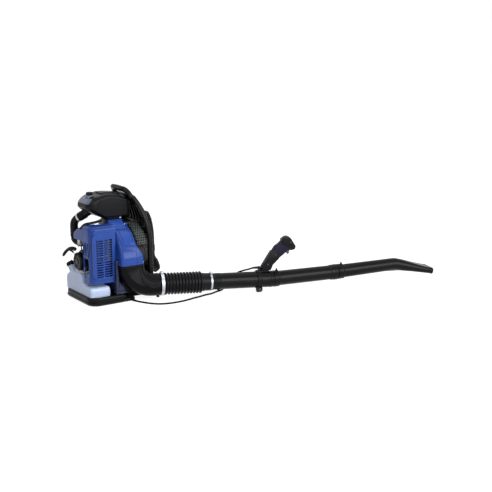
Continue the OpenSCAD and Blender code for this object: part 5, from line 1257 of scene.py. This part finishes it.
# grip flutes of the drum's rim
for a in range(-30, 271, 60):
    for k in range(-2, 3):
        w = radians(a + 11 * k)
        starter.sweep([(x, 42 * cos(w), 42 * sin(w)) for x in (-173, -156)], 1.3, up=(0, cos(w), sin(w)))
starter_obj = place(starter, "starter_cover", CRANK, GLOSS_BLACK)
slots = Shape()
for k in range(10):
    a = radians(36 * k + 8)
    u, v = Vector((0, cos(a), sin(a))), Vector((0, -sin(a), cos(a)))
    slots.loft([[Vector((x, 0, 0)) + u * r + v * s for r, s in ((13, -1.4), (28, -3.2), (28, 3.2), (13, 1.4))]
                for x in (-180, -168)])
cut(starter_obj, slots, where=CRANK)
dress(starter_obj, "machine", "black_plastic", "starter_housing", bevel=0.4, angle=38)
face = Shape().lathe([(-177.2, 31.2), (-178.6, 30.6), (-178.8, 28.4), (-177.2, 27.8)], 64, loop=True)
face.lathe([(-176.4, 12.4), (-178.2, 12), (-179.2, 10.2), (-179.6, 6), (-178.6, 3), (-176.4, 2.8)], 40, loop=True)
for k in range(6):
    a = radians(60 * k + 20)
    face.lathe([(-137, 3.4), (-151.6, 3.4), (-152.2, 2.8), (-152.2, 1.6), (-151.2, 1.5)], 12,
               (0, 48.6 * cos(a), 48.6 * sin(a)))
piece(face, "starter_trim", BLACKENED, at=CRANK, angle=38)
EYE, ROPE_DIR, BAR_DIR = Vector((-178, 12, 34)), unit((-0.6, 0.4, 0.69)), unit((-0.3, 0.86, -0.41))
guide = Shape().lathe([(-8, 6.4), (1.5, 6.4), (3, 5.6), (3.4, 4.2), (2.6, 2.8), (-8, 2.5)], 28, EYE, ROPE_DIR,
                      loop=True)
piece(guide, "rope_guide", GLOSS_BLACK, at=CRANK, slot="black_plastic", angle=50)
grip_middle = EYE + ROPE_DIR * 38
bar = [grip_middle + BAR_DIR * 49 * t - Vector((0, 0, 20 * t * t)) for t in (k / 12 for k in range(-12, 13))]
ends = [0.45, 0.86, 1.0, 1.04] + [1.0] * 7 + [1.05, 1.08, 1.05] + [1.0] * 7 + [1.04, 1.0, 0.86, 0.45]
handle = Shape().sweep(bar, circle(9.6, 7, 24), up=ROPE_DIR, scale=ends)
handle.lathe([(-27, 2.6), (-26, 3.4), (-13, 4.8), (-12.6, 5.6), (-10, 6.2), (-7, 6.4), (-3, 8.6), (1, 9.4), (3, 8)], 28,
             grip_middle, ROPE_DIR)
# grip ridges
for p in bar[4:8] + bar[17:21]:
    handle.sweep([p - BAR_DIR * 0.9, p + BAR_DIR * 0.9], circle(9.6 * 1.09, 7 * 1.09, 24), up=ROPE_DIR)
piece(handle, "starter_handle", GLOSS_BLACK, "starter_grip", at=CRANK, body="rope_handle", slot="black_plastic",
      angle=50)

# --- filter knob and its boss, filler cap ---
KNOB = (-100, 0, 506)
knob = Shape().lathe([(0, 9), (0, 13.6), (1.2, 14.4), (3, 14.8), (10, 15), (12.6, 14.4), (14, 12.8), (14.2, 9.6),
                      (13.4, 8.6), (13.2, 0.1)], 60, KNOB, UP)
for a, b in circle(14.6, 14.6, 16):
    knob.lathe([(2, 1.9), (11, 1.9), (12.6, 1.2)], 12, (KNOB[0] + a, b, KNOB[2]), UP)
piece(knob, "filter_knob_cap", GLOSS_BLACK, "filter_knob", body="cover_knob", slot="black_plastic", angle=38)
piece(Shape().lathe([(-22, 24), (-11, 23), (-4, 20), (-1, 17.6), (-0.4, 16.4)], 48, KNOB, UP), "knob_boss", SLATE,
      angle=50)
lid = Shape().lathe([(34.4, 18), (34.4, 20), (35.6, 21), (36.2, 21), (46, 20.6), (50.6, 19.4), (52.4, 17), (52.4, 13.5),
                     (51.2, 12), (51.2, 0.1)], 72, NECK, NECK_AXIS)
side_u, side_v = Vector(X_AXIS), Vector(NECK_AXIS).cross(Vector(X_AXIS))
for a, b in circle(20.6, 20.6, 24):
    lid.lathe([(37, 1.5), (47.6, 1.5), (50, 0.9)], 10, Vector(NECK) + side_u * a + side_v * b, NECK_AXIS)
wing = Vector(NECK) + Vector(NECK_AXIS) * 51
lid.loft([[wing + side_v * s + side_u * w + Vector(NECK_AXIS) * h
           for w, h in ((-4.6, -1), (-3.2, 4), (-1.8, 5.4), (1.8, 5.4), (3.2, 4), (4.6, -1))]
           for s in (-17.5, -16.8, 16.8, 17.5)])
piece(lid, "fuel_filler_cap", GLOSS_BLACK, "fuel_cap", body="tank_cap", slot="black_plastic", bevel=0.3, angle=40)

# --- throttle grip ---
# the grip from the side: place along the tube, height over its middle, fillet
OUTLINE = [(500, 47, 2), (500, 68, 6), (529, 108, 30), (558, 153, 20), (566, 166, 16), (585, 179, 16), (600, 194, 14),
           (606, 205, 12), (618, 213, 12), (634, 214, 12), (646, 204, 18), (672, 165, 10), (670, 152, 8), (660, 147, 7),
           (640, 149, 10), (610, 122, 16), (595, 111, 30), (556, 75, 26), (545, 52, 6), (540, 47, 2)]
HEAD = [(594, 176, 8), (600, 194, 12), (606, 206, 12), (618, 214.6, 12), (634, 215.6, 12), (647, 205.4, 18),
        (673.6, 165.6, 10), (671.4, 151, 8), (660, 145.6, 7), (650, 147, 5), (634, 160, 24), (612, 168, 20)]
FOOT = [(502, 66, 4), (498, 46.8, 4), (545, 46.8, 4), (550, 56, 6), (557, 74, 20), (592, 110, 10), (572, 140, 10),
        (552, 147, 12), (528, 110, 30)]
TRIGGER_SIDE = [(628, 165, 3), (638, 166, 3), (645, 152, 6), (643, 136, 10), (641.5, 127.5, 4), (636.5, 123.5, 4),
                (629, 128, 7), (625.6, 148, 10)]


def grip_ring(points, inset, middle):
    """The outline drawn in by inset, measured along the normal at each point."""
    n = len(points)
    out = []
    for i, p in enumerate(points):
        t = (points[(i + 1) % n] - points[i - 1]).normalized()
        q = p + Vector((-t.y, t.x)) * (-inset)
        out.append(q if (q - middle).length < (p - middle).length or inset <= 0
                   else p + (middle - p).normalized() * inset)
    return out


def grip_form(outline, steps):
    """A domed plate: its edge is round and its side swells by the last step."""
    points = divided(round_poly(outline, 5), 6)
    middle = sum(points, Vector((0, 0))) / len(points)
    return Shape().loft([[(q.x, y, q.y) for q in grip_ring(points, inset, middle)] for y, inset in steps])


def both_sides(edge):
    """An edge given from the middle outwards, for both sides."""
    return [(-y, inset) for y, inset in edge[:0:-1]] + edge


def trigger_gap(x, y):
    return Shape().box((617, -y, 112), (x, y, 172), 2 if x > 650 else 1)


GRIP_EDGE = [(0, 0), (8, 0.1), (11.4, 0.7), (13.8, 1.9), (15.4, 3.4), (16.4, 5.2), (17, 8.0)]
for side, word in ((1, "left"), (-1, "right")):
    form = grip_form(OUTLINE, [(side * (0.15 + y), inset) for y, inset in GRIP_EDGE])
    half_obj = place(form, "grip_half_" + word, TUBE, GRIP_BODY)
    cut(half_obj, trigger_gap(654, 9), where=TUBE)
    dress(half_obj, "blow_tube", "grip_plastic", "grip_shell_" + word, angle=44)
# black head over the top of the grip, wider than the body
head = grip_form(HEAD, both_sides([(0, 0), (12, 0), (15, 0.5), (17, 1.6), (18.2, 3.2), (19, 6.2)]))
head_obj = place(head, "grip_head", TUBE, GLOSS_BLACK)
cut(head_obj, trigger_gap(650, 8.6), where=TUBE)
dress(head_obj, "blow_tube", "grip_plastic", bevel=0.3, angle=44)
# ribs round the lower grip, and screw wells
ribs = Shape()
across = Vector((0.80, 0, -0.60))
for k in range(9):
    for y in (-18.2, 18.2):
        ribs.sweep([Vector((529 + 5.2 * k, y, 78 + 6.7 * k)) + across * d for d in (-15, -8, 0, 8, 15)],
                   rounded(1.1, 1.1, 0.9, 3), scale=[0.5, 1, 1, 1, 0.5])
for s, w in ((530, 78), (570, 126), (645, 186)):
    ribs.lathe([(16, 5.6), (18.8, 5.6), (19, 4.8), (18.4, 4.2), (16, 4.2)], 24, (s, 0, w), (0, -1, 0), loop=True)
piece(ribs, "grip_ribs", GLOSS_BLACK, at=TUBE, body="blow_tube", slot="grip_plastic", angle=44)
# foot sleeve that holds the grip, and the band with its clamp lug
foot = grip_form(FOOT, both_sides([(0, 0), (14, 0), (17.4, 1), (18.4, 3)]))
piece(foot, "grip_foot", BLACK, at=TUBE, body="blow_tube", slot="grip_plastic", angle=44)
bracket = Shape().lathe([(474, 41.4), (474, 43.6), (475.4, 44.8), (480, 44.8), (481, 43.8), (491, 43.8), (492, 44.8),
                         (496.6, 44.8), (498, 43.6), (498, 41.4)], 72, loop=True)
bracket_obj = place(bracket, "bracket_band", TUBE, BLACK)
block = Shape().box((476, -14, 30), (536, 14, 46.7), 3)
stop_side = round_poly([(485, 42, 2), (487.6, 67, 3), (495, 67, 3), (499.5, 47, 2), (499.5, 42, 2)], 4)
stop = Shape().slab(stop_side, -6.5, 6.5, ON_Y)
cut(bracket_obj, block, stop, where=TUBE, operation="UNION")
cut(bracket_obj, Shape().lathe([(460, 40.6), (560, 40.6)], 72), where=TUBE)
# two cheeks with the bolts that close the clamp, turned to the side
lug_part, cheek = Shape(), moved(rounded(15, 19, 8, 5), 486, -45)
lug_part.slab(cheek, -9, -1.4, ON_Y)
lug_part.slab(cheek, 1.4, 9, ON_Y)
for s in (476, 496):
    lug_part.box((s - 1.5, -11.5, -52), (s + 1.5, 11.5, -40), 1)
lug_part.turned(Matrix.Rotation(radians(-30), 4, X_AXIS))
piece(lug_part, "bracket_lug", BLACK, at=TUBE, body="blow_tube", bevel=1.2, angle=40)
dress(bracket_obj, "blow_tube", None, "grip_bracket", bevel=0.6, angle=40)
# trigger, cruise lever and stop button
blade = grip_form(TRIGGER_SIDE, [(-7, 1.6), (-6.4, 0.5), (-5, 0), (5, 0), (6.4, 0.5), (7, 1.6)])
TRIGGER = surface("trigger plastic", "black_plastic", (0.085, 0.080, 0.125), 0.36, specular=0.4, bump=0.05)
piece(blade, "trigger_blade", TRIGGER, "throttle_trigger", at=TUBE, body="trigger", angle=44)
lever = Shape().lathe([(11, 3), (17.4, 3), (17.4, 9), (22, 9), (23, 8)], 32, (606, 0, 172), Y_AXIS)
lever.slab(round_poly([(601, 172, 2), (611, 172, 2), (610, 200, 4), (603, 203, 4)], 4), 17.4, 22.8, ON_Y)
piece(lever, "cruise_arm", GLOSS_BLACK, "cruise_lever", at=TUBE, body="cruise", slot="black_plastic", bevel=0.8,
      angle=40)
button = Shape().lathe([(13, 6), (20, 6), (20.8, 5.2), (21, 3.4), (20.4, 0.1)], 32, (619, 0, 184), (0, -1, 0))
piece(button, "stop_button_cap", GLOSS_BLACK, "stop_switch", at=TUBE, body="stop_button", slot="black_plastic",
      angle=40)
# tapered boot where the cable enters the bracket
sleeve = Shape().lathe([(456, 4.4), (456.6, 4.9), (470, 5.6), (484, 6.6), (487.6, 6.8)], 24, (0, 0, 60))
piece(sleeve, "cable_boot_upper", RUBBER, at=TUBE, body="blow_tube", slot="hose_rubber", angle=50)


# --- starter rope, which pulls out with its handle ---
rope, STRANDS = Shape(), 3
side = ROPE_DIR.cross(BAR_DIR).normalized()
lift = ROPE_DIR.cross(side)
for s in range(STRANDS):
    strand = []
    for k in range(91):
        t = k / 3 - 6
        a = 2 * pi * (s / STRANDS + t / 9)
        strand.append(EYE + ROPE_DIR * t + side * (0.85 * cos(a)) + lift * (0.85 * sin(a)))
    rope.sweep(strand, 1.05, up=BAR_DIR)
bent(rope, "rope_line", ROPE, "starter_rope", ("machine", "rope_handle"),
     (on(CRANK, *(EYE - ROPE_DIR * 5)), on(CRANK, *(EYE + ROPE_DIR * 11))), at=CRANK, angle=60)


# --- back pad, harness ---
def pad_front(z):
    return frame_front(z) + 1.4


PAD_LOW, PAD_HIGH, PAD_HALF, PAD_ROWS = 105, 420, 95, 22
PAD_WAVES = [(105, 0.2), (112, 0.75), (150, 1.0), (196, 0.92), (250, 1.0), (330, 0.95), (400, 0.85), (412, 0.6),
             (420, 0.2)]
pad_form = []
for k in range(PAD_ROWS + 1):
    z = PAD_LOW + (PAD_HIGH - PAD_LOW) * k / PAD_ROWS
    swell = 17.5 * along(PAD_WAVES, z)
    half = PAD_HALF - 14 * (1 - min(1, (z - PAD_LOW) / 22)) ** 2 - 14 * (1 - min(1, (PAD_HIGH - z) / 22)) ** 2
    half -= 22 * max(0.0, (z - 320) / 100) ** 1.5
    across = [j / 12 - 1 for j in range(25)]
    pad_form.append([(pad_front(z) + 6 + swell * sqrt(max(0.0, 1 - abs(v) ** 6)) * (1 - 0.12 * cos(v * pi * 3)),
                      v * half, z)
                     for v in across] + [(pad_front(z) + 0.2 + 1.4 * abs(v) ** 4, v * half, z) for v in across[::-1]])
pad_obj = place(Shape().loft(pad_form), "back_cushion", mat=FOAM)
cut(pad_obj, Shape().lathe([(140, 60), (200, 60)], 60, (0, 0, CRANK_Z), X_AXIS))
modify(pad_obj, "REMESH", mode="VOXEL", voxel_size=5 * MM)
modify(pad_obj, "SMOOTH", factor=0.5, iterations=2)
apply_all(pad_obj)


def inflate(obj, pressure, cap_mm):
    """Puffs a closed form with cloth pressure and keeps each point within cap_mm of where it started."""
    start = [v.co.copy() for v in obj.data.vertices]
    cloth = obj.modifiers.new("Cloth", "CLOTH")
    for name, value in (("use_pressure", True), ("uniform_pressure_force", pressure), ("tension_stiffness", 18),
                        ("compression_stiffness", 18), ("shear_stiffness", 8), ("bending_stiffness", 0.6)):
        setattr(cloth.settings, name, value)
    cloth.settings.effector_weights.gravity = 0
    cloth.point_cache.frame_start, cloth.point_cache.frame_end = 1, 12
    group = obj.vertex_groups.new(name="back")
    group.add([v.index for v in obj.data.vertices if v.co.x * 1000 < pad_front(v.co.z * 1000) + 3.5], 1.0, "REPLACE")
    cloth.settings.vertex_group_mass = "back"
    for f in range(1, 13):
        scene.frame_set(f)
    apply_all(obj)
    obj.vertex_groups.clear()
    for v, p in zip(obj.data.vertices, start):
        step = v.co - p
        if step.length > cap_mm * MM:
            v.co = p + step.normalized() * cap_mm * MM
    scene.frame_set(1)


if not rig.quick():
    inflate(pad_obj, 3.0, 5)
# stitched seams pressed into the front
for v in pad_obj.data.vertices:
    y, z = v.co.y * 1000, v.co.z * 1000
    if v.co.x * 1000 > pad_front(z) + 10:
        near = min(abs(abs(y) - 20), abs(abs(y) - 80), *(abs(z - seam) if abs(y) < 92 else 99 for seam in (268, 350)))
        v.co.x -= 0.004 * max(0.0, 1 - near / 7) ** 1.5
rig.padded(dress(pad_obj, "machine", "pad_foam", "back_pad", angle=70, subdivide=0 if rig.quick() else 1), fill=0.7)
edge_line = [(pad_front(z) + 7.5, y, z) for y, z in moved(rounded(94.5, 157, 18, 5), 0, 262.5)]
piece(Shape().sweep(edge_line, 2.2, up=X_AXIS, loop=True), "pad_piping", WEBBING, slot="pad_foam", angle=50)

STRAP = [(408, -4), (390, 1), (350, 4), (300, 5), (250, 5), (200, 6), (180, 11), (161, 24), (128, 35), (116, 28),
         (108, 12)]
STRAP_Y = 48
for side, word in ((1, "left"), (-1, "right")):
    line = spline([Vector((frame_front(z) + 32 + off, side * STRAP_Y, z)) for z, off in STRAP], 4)
    strap = Shape().sweep(line, rounded(24.6, 5.6, 5.2, 4), up=X_AXIS)
    piece(strap, "shoulder_web_" + word, WEBBING, "shoulder_strap_" + word, angle=50)
    # bound edges, adjuster band and its keepers
    trim = Shape()
    for y in (-23.6, 23.6):
        trim.sweep([p + Vector((0, y, 0)) for p in line], rounded(2.4, 6.0, 2.2, 3), up=X_AXIS)
    trim.sweep([p + Vector((6.4, 0, 0)) for p in line if p.z < 330], rounded(12.5, 0.9, 0.8, 3), up=X_AXIS)
    for z in (338, 372):
        x, y = frame_front(z) + 34, side * STRAP_Y
        trim.box((x, y - 26, z - 3), (x + 7.8, y + 26, z + 3), 1.4, 3)
    piece(trim, "strap_trim_" + word, WEBBING, angle=50)
buckles = Shape()
for y in (-STRAP_Y, STRAP_Y):
    for z in (210.5, 222, 227, 239.5):
        buckles.box((204, y - 18, z - 1.8), (209, y + 18, z + 1.8), 1.5, 3)
    for edge_y in (y - 16, y + 16):
        buckles.box((204, edge_y - 2, 209), (209, edge_y + 2, 241), 1.5, 3)
piece(buckles, "harness_buckles", GLOSS_BLACK, "strap_buckles", slot="black_plastic", angle=40)


# --- floor, background and light ---
def seen_rays(new, link, rays):
    """1 for the rays that show the background: camera, glossy and transmission."""
    first = new("Math", operation="MAXIMUM")
    link(rays, "Is Camera Ray", first, 0)
    link(rays, "Is Glossy Ray", first, 1)
    last = new("Math", operation="MAXIMUM")
    link(first, 0, last, 0)
    link(rays, "Is Transmission Ray", last, 1)
    return last


def shader_nodes(owner):
    """An empty node tree of a material or world, as its new and link, with the light path's rays."""
    owner.use_nodes = True
    owner.node_tree.nodes.clear()
    new, link = node_kit(owner.node_tree)
    return new, link, new("LightPath")


def backdrop():
    floor = bpy.data.objects.new("floor", bpy.data.meshes.new("floor"))
    floor.data.from_pydata([(x, y, -0.0005) for x, y in ((-30, -30), (30, -30), (30, 30), (-30, 30))], [],
                           [(0, 1, 2, 3)])
    scene.collection.objects.link(floor)
    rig.stage(floor)
    mat = bpy.data.materials.new("pale floor")
    new, link, rays = shader_nodes(mat)
    matt = new("BsdfDiffuse", Color=(0.40, 0.40, 0.40, 1))
    glow = new("Emission", Color=(1, 1, 1, 1))
    seen = new("Math", operation="MULTIPLY")
    seen.inputs[1].default_value = 0.9
    link(seen_rays(new, link, rays), 0, seen, 0)
    link(seen, 0, glow, "Strength")
    both, out = new("AddShader"), new("OutputMaterial")
    link(matt, 0, both, 0)
    link(glow, 0, both, 1)
    link(both, 0, out, "Surface")
    floor.data.materials.append(mat)


def sky():
    world = bpy.data.worlds.new("studio")
    scene.world = world
    new, link, rays = shader_nodes(world)
    light = new("Background", Color=(1, 1, 1, 1), Strength=0.34)
    white = new("Background", Color=(1, 1, 1, 1), Strength=1.0)
    mix, out = new("MixShader"), new("OutputWorld")
    link(seen_rays(new, link, rays), 0, mix, 0)
    link(light, 0, mix, 1)
    link(white, 0, mix, 2)
    link(mix, 0, out, "Surface")


def softbox(name, at, target, size, power):
    data = bpy.data.lights.new(name, "AREA")
    data.shape, data.size, data.size_y, data.energy = "RECTANGLE", size[0], size[1], power
    obj = bpy.data.objects.new(name, data)
    obj.location = at
    obj.rotation_euler = (Vector(target) - Vector(at)).to_track_quat("-Z", "Y").to_euler()
    scene.collection.objects.link(obj)


backdrop()
sky()
softbox("key", (-2.2, -2.2, 2.6), (0, 0, 0.2), (1.6, 1.2), 30)
softbox("top", (0.6, -0.4, 3.0), (0.5, -0.3, 0.1), (3.0, 1.4), 16)
softbox("strip", (0.95, -3.1, 1.25), (0.95, -0.2, 0.1), (2.6, 1.7), 76)

with open("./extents.json", "w") as size_file:
    json.dump({"cad": cad_box, "visual": [list(v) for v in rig.bounds()]}, size_file)
